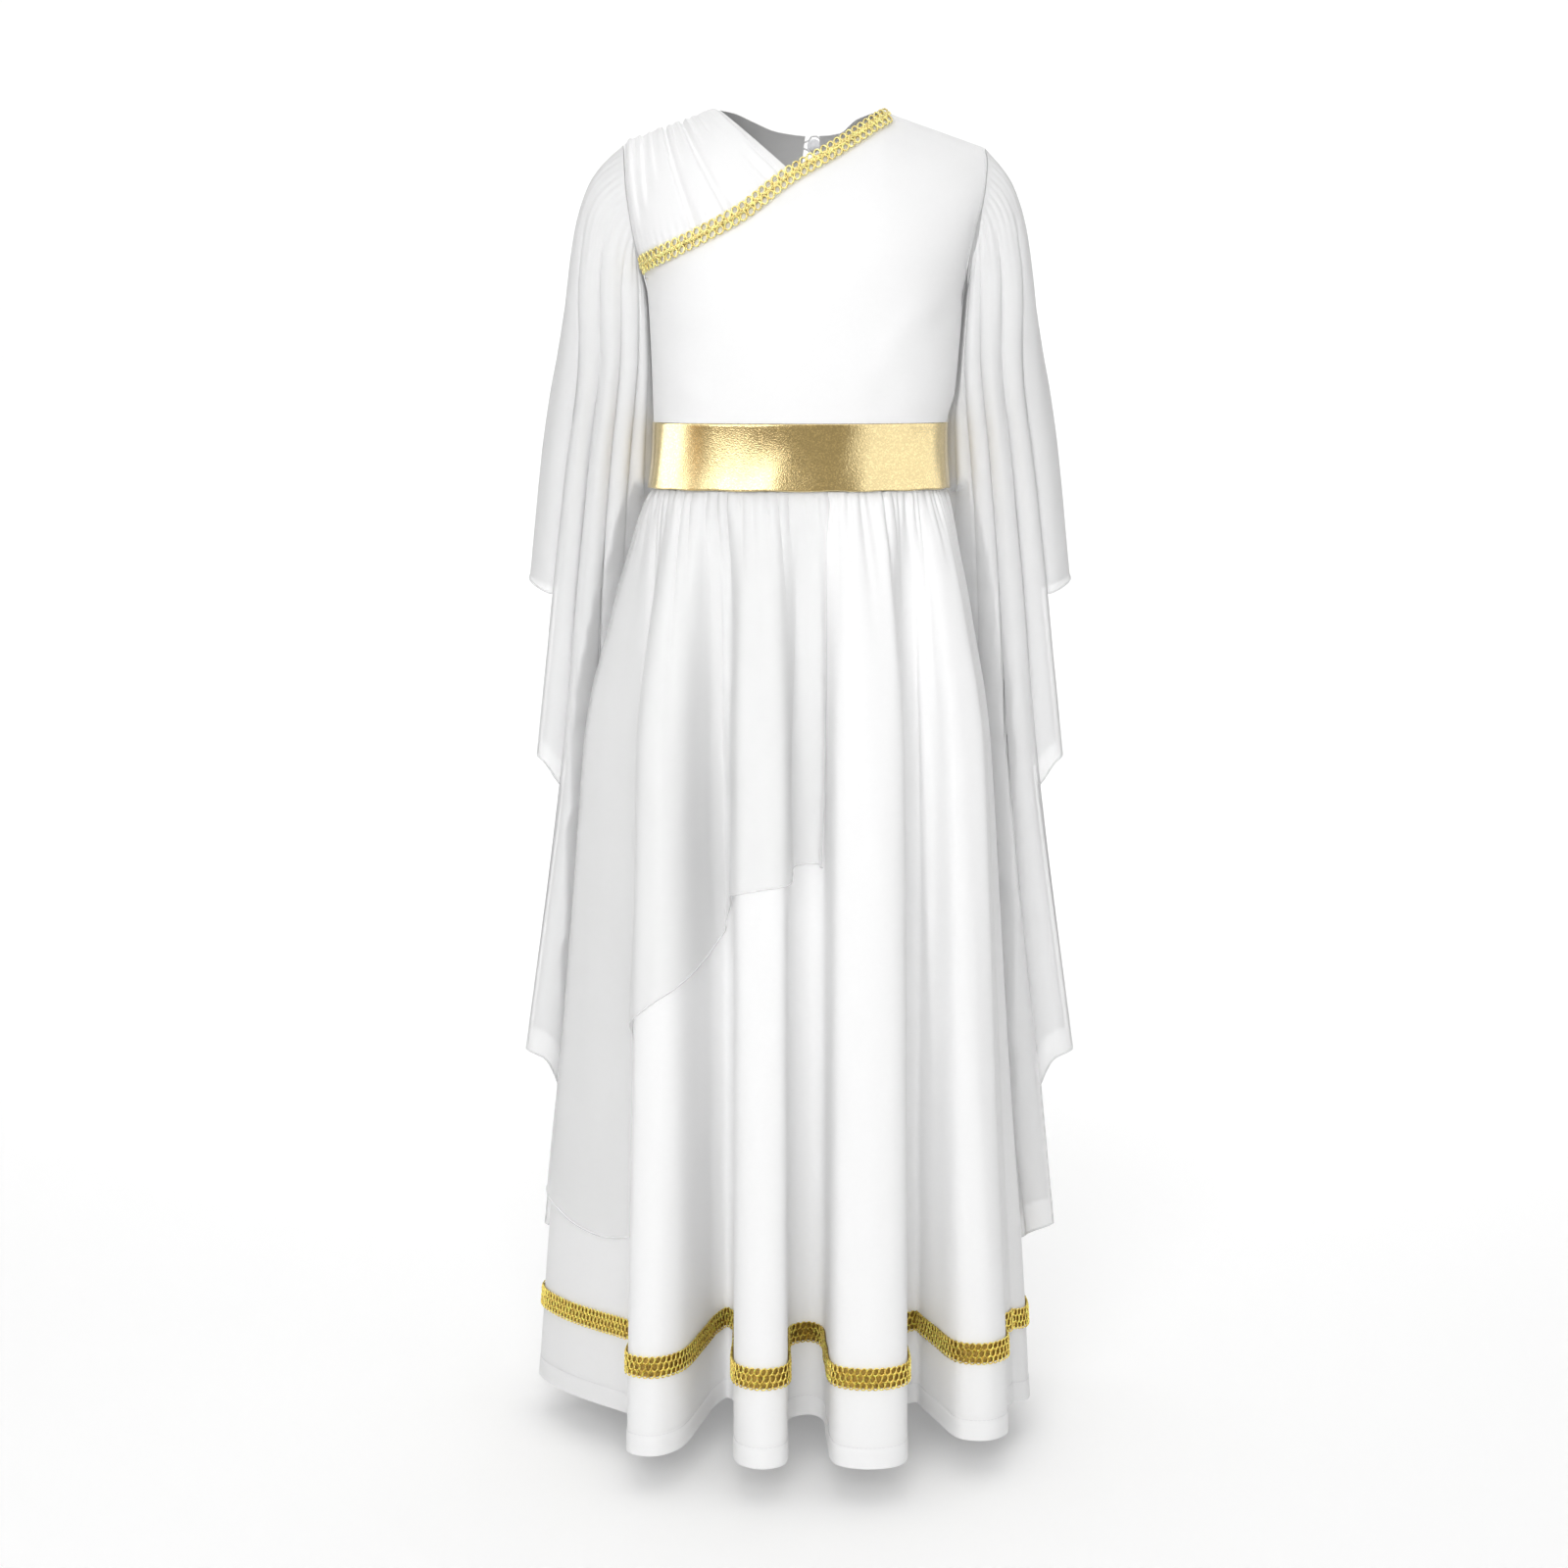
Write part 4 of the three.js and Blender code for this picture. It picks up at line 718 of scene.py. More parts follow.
# Each fold's crest at the hem, the angle that it faces, its widths to the left and right as seen from
# outside, the valley on its right, and the angles round the waist where crest and valley start
FOLDS = {
    "x": (-0.213, -0.114, -0.030, 0.056, 0.147, 0.188, 0.166, 0.112, 0.040, -0.048, -0.124, -0.182),
    "y": (0.008, -0.162, -0.187, -0.187, -0.130, -0.026, 0.076, 0.146, 0.174, 0.172, 0.144, 0.084),
    "facing": (205, 263, 270, 272, 298, 358, 390, 420, 444, 455, 484, 516),
    "left": (0.020, 0.022, 0.020, 0.032, 0.022, 0.020, 0.022, 0.022, 0.025, 0.024, 0.024, 0.022),
    "right": (0.045, 0.022, 0.020, 0.027, 0.026, 0.024, 0.022, 0.024, 0.025, 0.022, 0.024, 0.022),
    "valley_x": (-0.137, -0.058, 0.008, 0.094, 0.170, 0.166, 0.124, 0.072, -0.003, -0.086, -0.146, -0.190),
    "valley_y": (-0.086, -0.052, -0.088, -0.062, -0.066, 0.024, 0.086, 0.104, 0.112, 0.108, 0.090, 0.044),
    "crest_at": (188, 221, 256, 292, 332, 356, 386, 416, 440, 462, 488, 517),
    "valley_at": (203, 240, 272, 316, 344, 372, 402, 430, 451, 475, 503, 532),
    # How upright each fold's two walls are: 1 stands straight back, 0 slopes down to the valley
    "left_wall": (0.3, 1, 1, 0.85, 0, 0.3, 0.5, 0.7, 0.6, 0.5, 0.7, 0.3),
    "right_wall": (0, 0.25, 1, 1, 0.4, 0.3, 0.3, 0.4, 0.7, 0.6, 0.4, 0.3),
}
# How the skirt widens by the share of the way down, at its sides and at its front and back
FLARE = {
    "fall": (0, 0.055, 0.108, 0.161, 0.214, 0.268, 0.43, 0.65, 0.876, 1),
    "side": (0, 0.13, 0.24, 0.32, 0.41, 0.47, 0.585, 0.745, 0.925, 1),
    "front": (0, 0.25, 0.45, 0.64, 0.8, 0.9, 0.96, 0.98, 0.99, 1),
}
FOLD_COUNT = len(FOLDS["x"])
SKIRT_COLUMNS = {"front": 400, "back": 280}
GATHERS = 90
WAIST_REACH = 0.0995
flare_side, flare_front = curve(FLARE, "fall", "side"), curve(FLARE, "fall", "front")


def skirt_knots():
    """Eight knots a fold round the hem, with their angles at the waist and how far they are lifted"""
    fold = {name: np.array(column, float) for name, column in FOLDS.items()}
    facing_angle = np.radians(fold["facing"])
    out = np.stack([np.cos(facing_angle), np.sin(facing_angle)], axis=1)
    along = np.stack([-out[:, 1], out[:, 0]], axis=1)
    crest = np.stack([fold["x"], fold["y"]], axis=1)
    valley = np.stack([fold["valley_x"], fold["valley_y"]], axis=1)
    before_at = np.roll(fold["valley_at"], 1)
    before_at[0] -= 360
    next_at = np.roll(fold["crest_at"], -1)
    next_at[-1] += 360

    def fold_side(width, foot, wall):
        """The rolled shoulder, the flank and the valley's edge down one side of every fold"""
        depth = np.abs(((crest - foot) * out).sum(axis=1))
        upright = wall[:, None]

        def at(share, back):
            return crest + along * (share * width)[:, None] - out * (back * depth)[:, None]

        shoulder = at(0.78 + 0.1 * wall, 0.16 - 0.07 * wall)
        slope = mix(shoulder, foot, 0.55)
        flank = mix(slope, at(1, 0.56), upright)
        edge = mix(mix(foot, slope, 0.4), mix(at(1, 0.93), foot, 0.12), upright)
        return shoulder, flank, edge

    last_valley = np.roll(valley, 1, axis=0)
    left_shoulder, left_flank, left_edge = fold_side(-fold["left"], last_valley, fold["left_wall"])
    right_shoulder, right_flank, right_edge = fold_side(fold["right"], valley, fold["right_wall"])
    places = np.stack([left_flank, left_shoulder, crest, right_shoulder, right_flank, right_edge, valley,
                       np.roll(left_edge, -1, axis=0)], axis=1)
    crest_at, valley_at = fold["crest_at"], fold["valley_at"]
    angles = np.stack([
        mix(before_at, crest_at, 0.35), mix(before_at, crest_at, 0.68), crest_at,
        mix(crest_at, valley_at, 0.32), mix(crest_at, valley_at, 0.65), mix(crest_at, valley_at, 0.85),
        valley_at, mix(valley_at, next_at, 0.17)], axis=1)
    lifts = np.tile(np.array([0.4, 0, 0, 0, 0.4, 0.8, 1, 0.8]) * VALLEY_LIFT, (FOLD_COUNT, 1))
    return places.reshape(-1, 2), np.radians(angles.ravel()), lifts.ravel()


knot_places, knot_angles, knot_lifts = skirt_knots()
knot_waist = waist_ring(knot_angles, np.full(len(knot_angles), SKIRT_TOP), 0)


def skirt_points(folds, heights):
    """Places on the skirt by fold number round it and by height, each a grid of the same shape"""
    fall = (SKIRT_TOP - heights) / (SKIRT_TOP - HEM)
    position = folds * KNOTS
    i = np.floor(position).astype(int)
    t = (position - i)[..., None]
    frontal = np.abs(np.sin(knot_angles))

    def knot(number):
        k = number % len(knot_angles)
        sideways = mix(flare_side(fall), flare_front(fall), frontal[k])
        x = mix(knot_waist[k, 0], knot_places[k, 0], sideways)
        y = mix(knot_waist[k, 1], knot_places[k, 1], flare_side(fall))
        return np.stack([x, y, SKIRT_TOP + (HEM + knot_lifts[k] - SKIRT_TOP) * fall], axis=-1)

    a, b, c, d = (knot(i + step - 1) for step in range(4))
    # A curve through the knots whose bends are spaced by the distance between them, so it never loops
    before, span, after = (np.sqrt(np.linalg.norm(q - p, axis=-1))[..., None]
                           for p, q in ((a, b), (b, c), (c, d)))
    leaving = ((b - a) / before - (c - a) / (before + span) + (c - b) / span) * span
    arriving = ((c - b) / span - (d - b) / (span + after) + (d - c) / after) * span
    second, third = 3 * (c - b) - 2 * leaving - arriving, 2 * (b - c) + leaving + arriving
    return b + leaving * t + second * t**2 + third * t**3


def waist_turn(folds):
    """The angle round the waist at which a fold number starts"""
    turns = np.append(knot_angles, knot_angles[0] + math.tau)
    return np.interp(folds % FOLD_COUNT, np.arange(len(turns)) / KNOTS, turns)


# Every gather has its own place, height and length down the skirt, and a narrow trough at its right
gather_draw = np.random.RandomState(11)
gather_turns = (np.arange(GATHERS) + gather_draw.uniform(-0.3, 0.3, GATHERS)) * math.tau / GATHERS
gather_heights = gather_draw.uniform(0.0008, 0.0028, GATHERS)
gather_lengths = gather_draw.uniform(0.025, 0.080, GATHERS) * np.where(np.arange(GATHERS) % 5 == 0, 2.2, 1)
gather_widths = gather_draw.uniform(0.0020, 0.0036, GATHERS)
# Long soft folds inside the pipes: fold number at the waist and lower down, heights, width and size
LONG_FOLDS = {
    "top": (0.262, 0.85, 1.225, 1.625, 2.188, 2.55, 3.188, 3.45, 3.775, 4.225, 4.55, 5.225, 6.3, 7.225,
            8.15, 8.7, 9.375, 10.225, 11.225),
    "foot": (0.225, 1, 1.375, 1.925, 2.3, 2.465, 3.3, 3.55, 4.037, 4.338, 4.625, 5.3, 6.375, 7.3,
             8.225, 8.55, 9.45, 10.3, 11.3),
    "start": (-0.30, -0.29, -0.32, -0.30, -0.29, -0.33, -0.29, -0.30, -0.28, -0.30, -0.29, -0.30, -0.30,
              -0.29, -0.31, -0.30, -0.29, -0.31, -0.30),
    "end": (-0.96, -0.62, -0.90, -0.55, -0.84, -0.60, -0.74, -0.52, -0.80, -0.92, -0.56, -0.86, -0.80,
            -0.70, -0.90, -0.56, -0.88, -0.76, -0.66),
    "width": (0.10, 0.09, 0.08, 0.09, 0.07, 0.09, 0.08, 0.06, 0.08, 0.10, 0.08, 0.10, 0.09,
              0.08, 0.09, 0.08, 0.09, 0.09, 0.08),
    "height": (0.0034, -0.0026, 0.0024, 0.0030, -0.0022, 0.0024, 0.0026, -0.0026, 0.0030, -0.0030, 0.0026,
               -0.0026, 0.0028, -0.0026, 0.0026, -0.0024, 0.0028, -0.0026, 0.0026),
}


def skirt_relief(folds, heights):
    """How far gathers and long folds stand out from the skirt's pipes"""
    fall = SKIRT_TOP - heights
    total = np.zeros_like(folds)
    held = 0.5 + 0.5 * smooth(fall / 0.008)
    turns = waist_turn(folds)
    for place, height, length, width in zip(gather_turns, gather_heights, gather_lengths, gather_widths):
        aside = ((turns - place + math.pi) % math.tau - math.pi) * WAIST_REACH
        wider = width * (1 + 0.8 * fall / length)
        trough = np.exp(-(((aside - 1.4 * wider) / (0.45 * wider)) ** 2))
        ridge = np.exp(-((aside / wider) ** 2)) - 0.9 * trough
        total += height * ridge * np.exp(-((fall / length) ** 2)) * held
    total -= 0.0007 * np.exp(-((fall / 0.09) ** 2))
    for top, foot, start, end, width, height in zip(*LONG_FOLDS.values()):
        share = (start - heights) / (start - end)
        aside = (folds - mix(top, foot, share) + FOLD_COUNT / 2) % FOLD_COUNT - FOLD_COUNT / 2
        total += height * np.exp(-((aside / width) ** 2)) * smooth(share / 0.3) * smooth((1 - share) / 0.4)
    return total


def skirt_cloth(folds, heights, out=0.0):
    """Points and normals of the skirt's cloth, moved out by a distance"""
    points = skirt_points(folds, heights)
    normals = facing(points, points * (1, 1, 0))
    points = points + normals * skirt_relief(folds, heights)[..., None]
    normals = facing(points, points * (1, 1, 0))
    return points + normals * np.asarray(out)[..., None], normals


# The turned-up hem stands out a little below its stitches, which pull a shallow groove into the cloth
HEM_DEPTH = 0.016
HEM_STEP = 0.0005
HEM_GROOVE = 0.0006
SEAM_INSET = 0.004
hem_line = HEM + HEM_DEPTH
skirt_heights = np.concatenate([mix(SKIRT_TOP, -0.350, np.linspace(0, 1, 40)),
                                mix(-0.358, hem_line + 0.004, np.linspace(0, 1, 48)),
                                mix(hem_line + 0.002, HEM, np.linspace(0, 1, 11))])[:, None]
under_line = hem_line - skirt_heights
hem_step = HEM_STEP * smooth(under_line / 0.0015) - HEM_GROOVE * np.exp(-((under_line / 0.0012) ** 2))
skirt_spans = {"front": (SEAM_INSET, FOLD_COUNT / 2 - SEAM_INSET),
               "back": (FOLD_COUNT / 2 + SEAM_INSET, FOLD_COUNT - SEAM_INSET)}
for face, (start, end) in skirt_spans.items():
    fine = np.linspace(start, end, 3000)
    measure = 0.6 * (waist_turn(fine) - waist_turn(start)) / math.tau * FOLD_COUNT + 0.4 * (fine - start)
    even = np.interp(np.linspace(0, measure[-1], SKIRT_COLUMNS[face]), measure, fine)
    folds, heights = np.broadcast_arrays(even[None, :], skirt_heights)
    points, normals = skirt_cloth(folds, heights, hem_step + 0 * folds)
    skirt = lay_cloth(f"skirt_{face}_cloth", points, normals, white_jersey, JERSEY)
    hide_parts(f"skirt_{face}")

# The overskirt is a wide piece of sheer cloth, gathered with the skirt over its right half. Its edge
# slants up across the front, and is rolled and sewn narrow.
OVERSKIRT_EDGE = {
    "fold": (-2.255, -1.752, -1.255, -0.753, -0.255, 0.075, 0.247, 0.505, 0.775, 1, 1.248, 1.745, 2.075,
             2.375, 3),
    "z": (-0.640, -0.690, -0.735, -0.790, -0.812, -0.846, -0.856, -0.870, -0.866, -0.700, -0.660, -0.618,
          -0.582, -0.568, -0.560),
}
OVERSKIRT_GRID = (400, 96)
OVERSKIRT_OUT = 0.0016
OVERSKIRT_SWING = 0.0022
OVERSKIRT_RIPPLE = 0.0008
ROLLED_EDGE = 0.0007
# The overskirt's chiffon is painted paler than the sleeves' same chiffon: painted light that lifts the shade
# where the sheer lies over the skirt
OVERSKIRT_LIT_WHITE = (0.935, 0.935, 0.937)
overskirt_edge = curve(OVERSKIRT_EDGE, "fold", "z")

# Sheer crinkled cloth: threads both ways, with small gaps between them, and long soft crinkles
sheer, sheer_in, sheer_out = new_group("sheer_weave", {"Threads": 6000.0, "Crinkle": 60.0},
                                       ("Height", "Cover", "Streak"))
sheer_map = add_node(sheer, "ShaderNodeUVMap", uv_map="pattern")
sheer_split = add_node(sheer, "ShaderNodeSeparateXYZ", {0: sheer_map.outputs[0]})
sheer_turns = [math_node(sheer, "MULTIPLY", sheer_split.outputs[axis], sheer_in.outputs["Threads"])
               for axis in (0, 1)]
sheer_waves = [math_node(sheer, "ABSOLUTE", math_node(sheer, "SINE", turns)) for turns in sheer_turns]
sheer_cover = math_node(sheer, "MAXIMUM", *sheer_waves)
sheer_stretch = add_node(sheer, "ShaderNodeMapping", {
    "Vector": sheer_map.outputs[0], "Scale": (1.0, 0.06, 1.0)})
sheer_streak = add_node(sheer, "ShaderNodeTexNoise", {
    "Vector": sheer_stretch.outputs[0], "Scale": sheer_in.outputs["Crinkle"], "Detail": 4.0,
    "Roughness": 0.6})
sheer_threads = math_node(sheer, "MULTIPLY", sheer_cover, 0.3)
sheer.links.new(math_node(sheer, "ADD", sheer_threads, sheer_streak.outputs["Fac"]),
                sheer_out.inputs["Height"])
sheer.links.new(sheer_cover, sheer_out.inputs["Cover"])
sheer.links.new(sheer_streak.outputs["Fac"], sheer_out.inputs["Streak"])


def sheer_material(name, colour, thin, thick):
    """Sheer cloth whose opacity goes from thin between threads to thick on them"""
    made, tree, shader = new_material(name, {
        "Roughness": 0.75, "Specular IOR Level": 0.25, "Sheen Weight": 0.15, "Sheen Roughness": 0.5})
    weave = use_group(tree, "sheer_weave", Threads=6000.0, Crinkle=60.0)
    tree.links.new(toned(tree, colour, 7.0, 0.03, weave.outputs["Streak"], 0.05), shader.inputs["Base Color"])
    tree.links.new(remap(tree, weave.outputs["Cover"], 0.5, 1.0, thin, thick), shader.inputs["Alpha"])
    raise_grain(tree, shader, weave.outputs["Height"], 0.0003, 0.3)
    return made


overskirt_sheer = sheer_material("overskirt_sheer", OVERSKIRT_LIT_WHITE, 0.28, 0.50)

# How wide a cord's own strip of the UV map is
CORD_GIRTH = 0.002


def round_cord(name, paths, facing_normals, radius, sides, material, closed=False):
    """Round cords along many paths of the same number of points, joined in one mesh"""
    ahead = (np.roll(paths, -1, 1) - np.roll(paths, 1, 1)) if closed else np.gradient(paths, axis=1)
    ahead /= np.maximum(np.linalg.norm(ahead, axis=2, keepdims=True), 1e-12)
    side = np.cross(facing_normals, ahead)
    side /= np.maximum(np.linalg.norm(side, axis=2, keepdims=True), 1e-12)
    up = np.cross(ahead, side)
    turn = np.linspace(0, math.tau, sides, endpoint=False)
    width = np.broadcast_to(np.asarray(radius, float), paths.shape[:2])[..., None, None]
    spokes = np.cos(turn)[:, None] * side[:, :, None] + np.sin(turn)[:, None] * up[:, :, None]
    rings = paths[:, :, None] + width * spokes
    count, length = paths.shape[:2]
    index = np.arange(count * length * sides).reshape(count, length, sides)
    index = np.concatenate([index, index[:, :1]], axis=1) if closed else index
    around = np.roll(index, -1, axis=2)
    quads = np.stack([index[:, :-1], around[:, :-1], around[:, 1:], index[:, 1:]], axis=-1).reshape(-1, 4)
    step = np.linalg.norm(np.diff(paths, axis=1), axis=2).mean()
    rows = np.arange(index.shape[1] - 1) * step
    low, high = np.meshgrid(rows, np.arange(sides) / sides * CORD_GIRTH, indexing="ij")
    next_high = high + CORD_GIRTH / sides
    corners = ((high, low), (next_high, low), (next_high, low + step), (high, low + step))
    corner = np.stack([np.stack(pair, -1) for pair in corners], axis=2)
    flat = np.tile(corner.reshape(-1, 2), (count, 1))
    vertices = rings.reshape(-1, 3)
    if not closed and sides == 4:
        quads = np.concatenate([quads, index[:, 0, ::-1], index[:, -1]])
        flat = np.concatenate([flat, np.zeros((8 * count, 2))])
    return make_piece(name, vertices, quads, material, flat)


over_folds = np.linspace(OVERSKIRT_EDGE["fold"][0], OVERSKIRT_EDGE["fold"][-1], OVERSKIRT_GRID[0])[None, :]
over_share = (np.linspace(0, 1, OVERSKIRT_GRID[1] + 1) ** 1.15)[:, None]
edge_wave = 0.0025 * np.sin(7.0 * over_folds) * np.sin(3.1 * over_folds + 1)
over_heights = mix(SKIRT_TOP, overskirt_edge(over_folds) + edge_wave, over_share)
over_folds = np.broadcast_to(over_folds, over_heights.shape)
over_ripple = OVERSKIRT_RIPPLE * np.sin(5 * over_folds + 6 * over_share)
over_out = OVERSKIRT_OUT + OVERSKIRT_SWING * smooth((over_share - 0.75) / 0.25) + over_ripple
over_points, over_normals = skirt_cloth(over_folds, over_heights, over_out * smooth(0.15 + over_share * 20))
overskirt = lay_cloth("overskirt_cloth", over_points, over_normals, overskirt_sheer)
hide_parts("overskirt")
over_hem = round_cord("overskirt_hem", over_points[-1:], over_normals[-1:], ROLLED_EDGE, 6, overskirt_sheer)

# Each sleeve is one piece of sheer cloth, gathered into the armhole and hanging free as an open angel
# sleeve. Its side edges fall in pipes, so its rolled hem comes down in steps.
# By height: how far out the sleeve reaches over the arm, the centre and radius of its roll sideways, its
# middle and half depth from front to back, and how far its pipes swell
SLEEVE = {
    "z": (-0.012, -0.021, -0.045, -0.082, -0.125, -0.172, -0.203, -0.250, -0.350, -0.500, -0.750, -0.905),
    "outer": (0.141, 0.151, 0.165, 0.175, 0.1825, 0.1915, 0.1985, 0.207, 0.2195, 0.238, 0.280, 0.310),
    "centre": (0.130, 0.134, 0.140, 0.144, 0.148, 0.149, 0.152, 0.159, 0.170, 0.183, 0.216, 0.235),
    "radius": (0.020, 0.024, 0.032, 0.041, 0.042, 0.041, 0.041, 0.044, 0.049, 0.057, 0.078, 0.076),
    "middle": (0, 0, 0.001, 0.005, 0.013, 0.025, 0.034, 0.048, 0.064, 0.076, 0.088, 0.094),
    "half": (0.010, 0.016, 0.027, 0.036, 0.042, 0.046, 0.047, 0.047, 0.047, 0.044, 0.040, 0.034),
    "pipe": (0, 0.001, 0.0025, 0.0045, 0.006, 0.0075, 0.0085, 0.0095, 0.0105, 0.0115, 0.012, 0.012),
}
# Each pipe is a roll of cloth between two angles round the arm, 0 outward and 90 to the front, with the
# height of its hem at its start, middle and end
PIPES = {
    "start": (-52, 53, 80, 105, 128, 150, 209, 232, 256, 281),
    "end": (53, 80, 105, 128, 150, 209, 232, 256, 281, 308),
    "first": (-0.363, -0.492, -0.742, -0.896, -0.910, -0.912, -0.914, -0.905, -0.770, -0.516),
    "middle": (-0.350, -0.499, -0.748, -0.901, -0.912, -0.909, -0.912, -0.899, -0.750, -0.500),
    "last": (-0.363, -0.520, -0.775, -0.909, -0.914, -0.912, -0.908, -0.893, -0.740, -0.490),
}
SLEEVE_SHIFT = 0.0006
BODY_CLEARANCE = 0.0010
SKIRT_CLEARANCE = 0.006
SLEEVE_ROWS = 120
COLUMNS_PER_PIPE = 20
SLEEVE_ROLL = 0.0008
ARMHOLE_PUCKER = 0.0006
SLEEVE_CRINKLE = 0.0006
# The sleeves' chiffon is painted greyer than the overskirt's same chiffon: painted shade for sheer cloth with
# only the backdrop behind it
SLEEVE_SHADED_GREY = (0.865, 0.866, 0.869)
sleeve_at = {name: curve(SLEEVE, "z", name) for name in SLEEVE if name != "z"}
sleeve_sheer = sheer_material("sleeve_sheer", SLEEVE_SHADED_GREY, 0.62, 0.86)


def skirt_need(sign, at, z):
    """How far back a sleeve has to go at a distance from the middle to lie on the skirt's side"""
    folds, heights = np.broadcast_arrays(np.linspace(0, FOLD_COUNT, 72, endpoint=False), z[:, None])
    ring = skirt_points(folds, heights)
    beyond = sign * ring[..., 0] > at - 0.005
    back = np.where(beyond, ring[..., 1], -1).max(axis=1)
    front = sleeve_at["middle"](z) - sleeve_at["half"](z) - 0.6 * sleeve_at["pipe"](z)
    return np.where(z < SKIRT_TOP, back + SKIRT_CLEARANCE - front, -1)


def sleeve_columns():
    """The angle, pipe swelling and hem of each column round the arm"""
    angles, swells, hems = [], [], []
    for number, (start, end, first, middle, last) in enumerate(zip(*PIPES.values())):
        count = COLUMNS_PER_PIPE * (2 if end - start > 50 else 1)
        share = np.arange(count) / count
        hem = curve({"at": (0, 0.5, 1), "z": (first, middle, last)}, "at", "z")(share)
        hem[0] = max(PIPES["last"][number - 1], first)
        angles.append(mix(start, end, share))
        swells.append(np.sin(np.pi * share) ** 0.6)
        hems.append(hem)
    return np.radians(np.concatenate(angles)), np.concatenate(swells), np.concatenate(hems)


def sleeve_cloth(side):
    sign = 1 if side == "left" else -1
    angles, swells, hems = (values[None, :] for values in sleeve_columns())
    top = float(shoulder_height(armhole[side](NECK_TOP)))
    start_z = mix(UNDERARM, top, 0.5 + 0.5 * np.cos(angles))
    edge = panel_edge(side, np.maximum(start_z, UNDERARM + 0.00001))
    on_front, on_back = (torso_depth(face, edge * sign, start_z) for face in ("front", "back"))
    depth = np.where(np.sin(angles) > 0, -on_front, on_back)
    under = 0.0008 * np.maximum(0, -np.cos(angles)) ** 3
    start_x = edge + SEAM_GAP + 0.0005 + under
    share = (np.linspace(0, 1, SLEEVE_ROWS + 1) ** 1.3)[:, None]
    z = mix(start_z, hems, share)
    drop = start_z - z
    pipe = sleeve_at["pipe"](z) * (swells - 0.6) * (1 - np.exp(-drop / 0.045))
    over_arm = np.maximum(0, np.cos(angles)) ** 4
    centre, radius, outer = (sleeve_at[name](z) for name in ("centre", "radius", "outer"))
    reach = radius + (outer - centre - radius) * over_arm
    across = centre + (reach + pipe * (1 - over_arm)) * np.cos(angles)
    limit = panel_edge(side, np.minimum(z, start_z)) + BODY_CLEARANCE
    clear = limit + 0.004 * np.log(1 + np.exp((across - limit) / 0.004))
    levels = np.linspace(-0.95, SKIRT_TOP - 0.0001, 60)
    shift = np.zeros_like(clear)
    for at in np.arange(0.110, 0.241, 0.005):
        need = np.interp(z, levels, skirt_need(sign, at, levels)) * (z < SKIRT_TOP) - 1.5 * np.abs(clear - at)
        shift = np.maximum(shift, need)
    y = sleeve_at["middle"](z) - (sleeve_at["half"](z) + pipe) * np.sin(angles) + shift
    leave = 1 - np.exp(-drop / 0.009)
    x = sign * mix(start_x, clear, leave) + SLEEVE_SHIFT * leave
    points = np.stack([x, mix(depth, y, leave), z], axis=-1)
    outward = (points - points.mean(axis=1, keepdims=True)) * (1, 1, 0)
    normals = facing(points, outward, closed=True)
    # Small gathers at the armhole, and soft creases between the pipes lower down
    pucker = np.sin(46 * angles + 1.5 * np.sin(5 * angles)) * np.exp(-drop / 0.030) * smooth(drop / 0.004)
    crinkle = np.sin(9 * angles + 6 * z) * np.sin(14 * z + 3 * angles) * smooth(drop / 0.10)
    points = points + normals * (ARMHOLE_PUCKER * pucker + SLEEVE_CRINKLE * crinkle)[..., None]
    return points, facing(points, outward, closed=True)


for side in ("left", "right"):
    points, normals = sleeve_cloth(side)
    sleeve = lay_cloth(f"sleeve_{side}_cloth", points, normals, sleeve_sheer, closed=True)
    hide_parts(f"sleeve_{side}")
    sleeve_hem = round_cord(f"sleeve_{side}_hem", points[-1:], normals[-1:], SLEEVE_ROLL, 6, sleeve_sheer,
                            closed=True)

# The braid on the slant is gold thread: two rows of loops on a sheer net tape, with two twisted cords
# between them. It is sewn over the seam.
NECK_BRAID_WIDTH = 0.0155
NECK_BRAID_ABOVE = 0.003
NECK_LOOP_PITCH = 0.0066
NECK_TAPE_ROWS = 9
GOLD_THREAD = (0.98, 0.81, 0.35)
GOLD_NET = (0.85, 0.68, 0.26)

# Twisted strands, and random specks that are painted glints and painted shade in the gold threads' colour
thread, thread_in, thread_out = new_group("thread_twist", {"Turns": 1300.0}, ("Height", "Glint"))
thread_place = add_node(thread, "ShaderNodeTexCoord")
thread_wave = add_node(thread, "ShaderNodeTexWave", {
    "Vector": thread_place.outputs["Object"], "Scale": thread_in.outputs["Turns"], "Distortion": 6.0,
    "Detail": 2.0}, bands_direction="DIAGONAL")
thread_speck = add_node(thread, "ShaderNodeTexVoronoi", {
    "Vector": thread_place.outputs["Object"], "Scale": 900.0})
thread_split = add_node(thread, "ShaderNodeSeparateColor", {0: thread_speck.outputs["Color"]})
thread.links.new(thread_wave.outputs["Fac"], thread_out.inputs["Height"])
thread.links.new(thread_split.outputs[0], thread_out.inputs["Glint"])


def gold_material(name, colour, roughness, turns):
    """Metal thread: twisted strands, specked with painted glints and shade. Its tree and shader come with it
    """
    made, tree, shader = new_material(name, {"Metallic": 1.0})
    strands = use_group(tree, "thread_twist", Turns=turns)
    painted_glint_specks = strands.outputs["Glint"]
    # Painted glints and shade: the specks make the thread's colour brighter and darker at random
    tree.links.new(toned(tree, colour, 60.0, 0.25, painted_glint_specks, 0.8), shader.inputs["Base Color"])
    tree.links.new(remap(tree, painted_glint_specks, 0, 1, roughness - 0.08, roughness + 0.14), shader.inputs["Roughness"])
    raise_grain(tree, shader, strands.outputs["Height"], 0.00015, 0.6)
    return made, tree, shader


neck_gold = gold_material("neck_gold", GOLD_THREAD, 0.24, 700.0)[0]


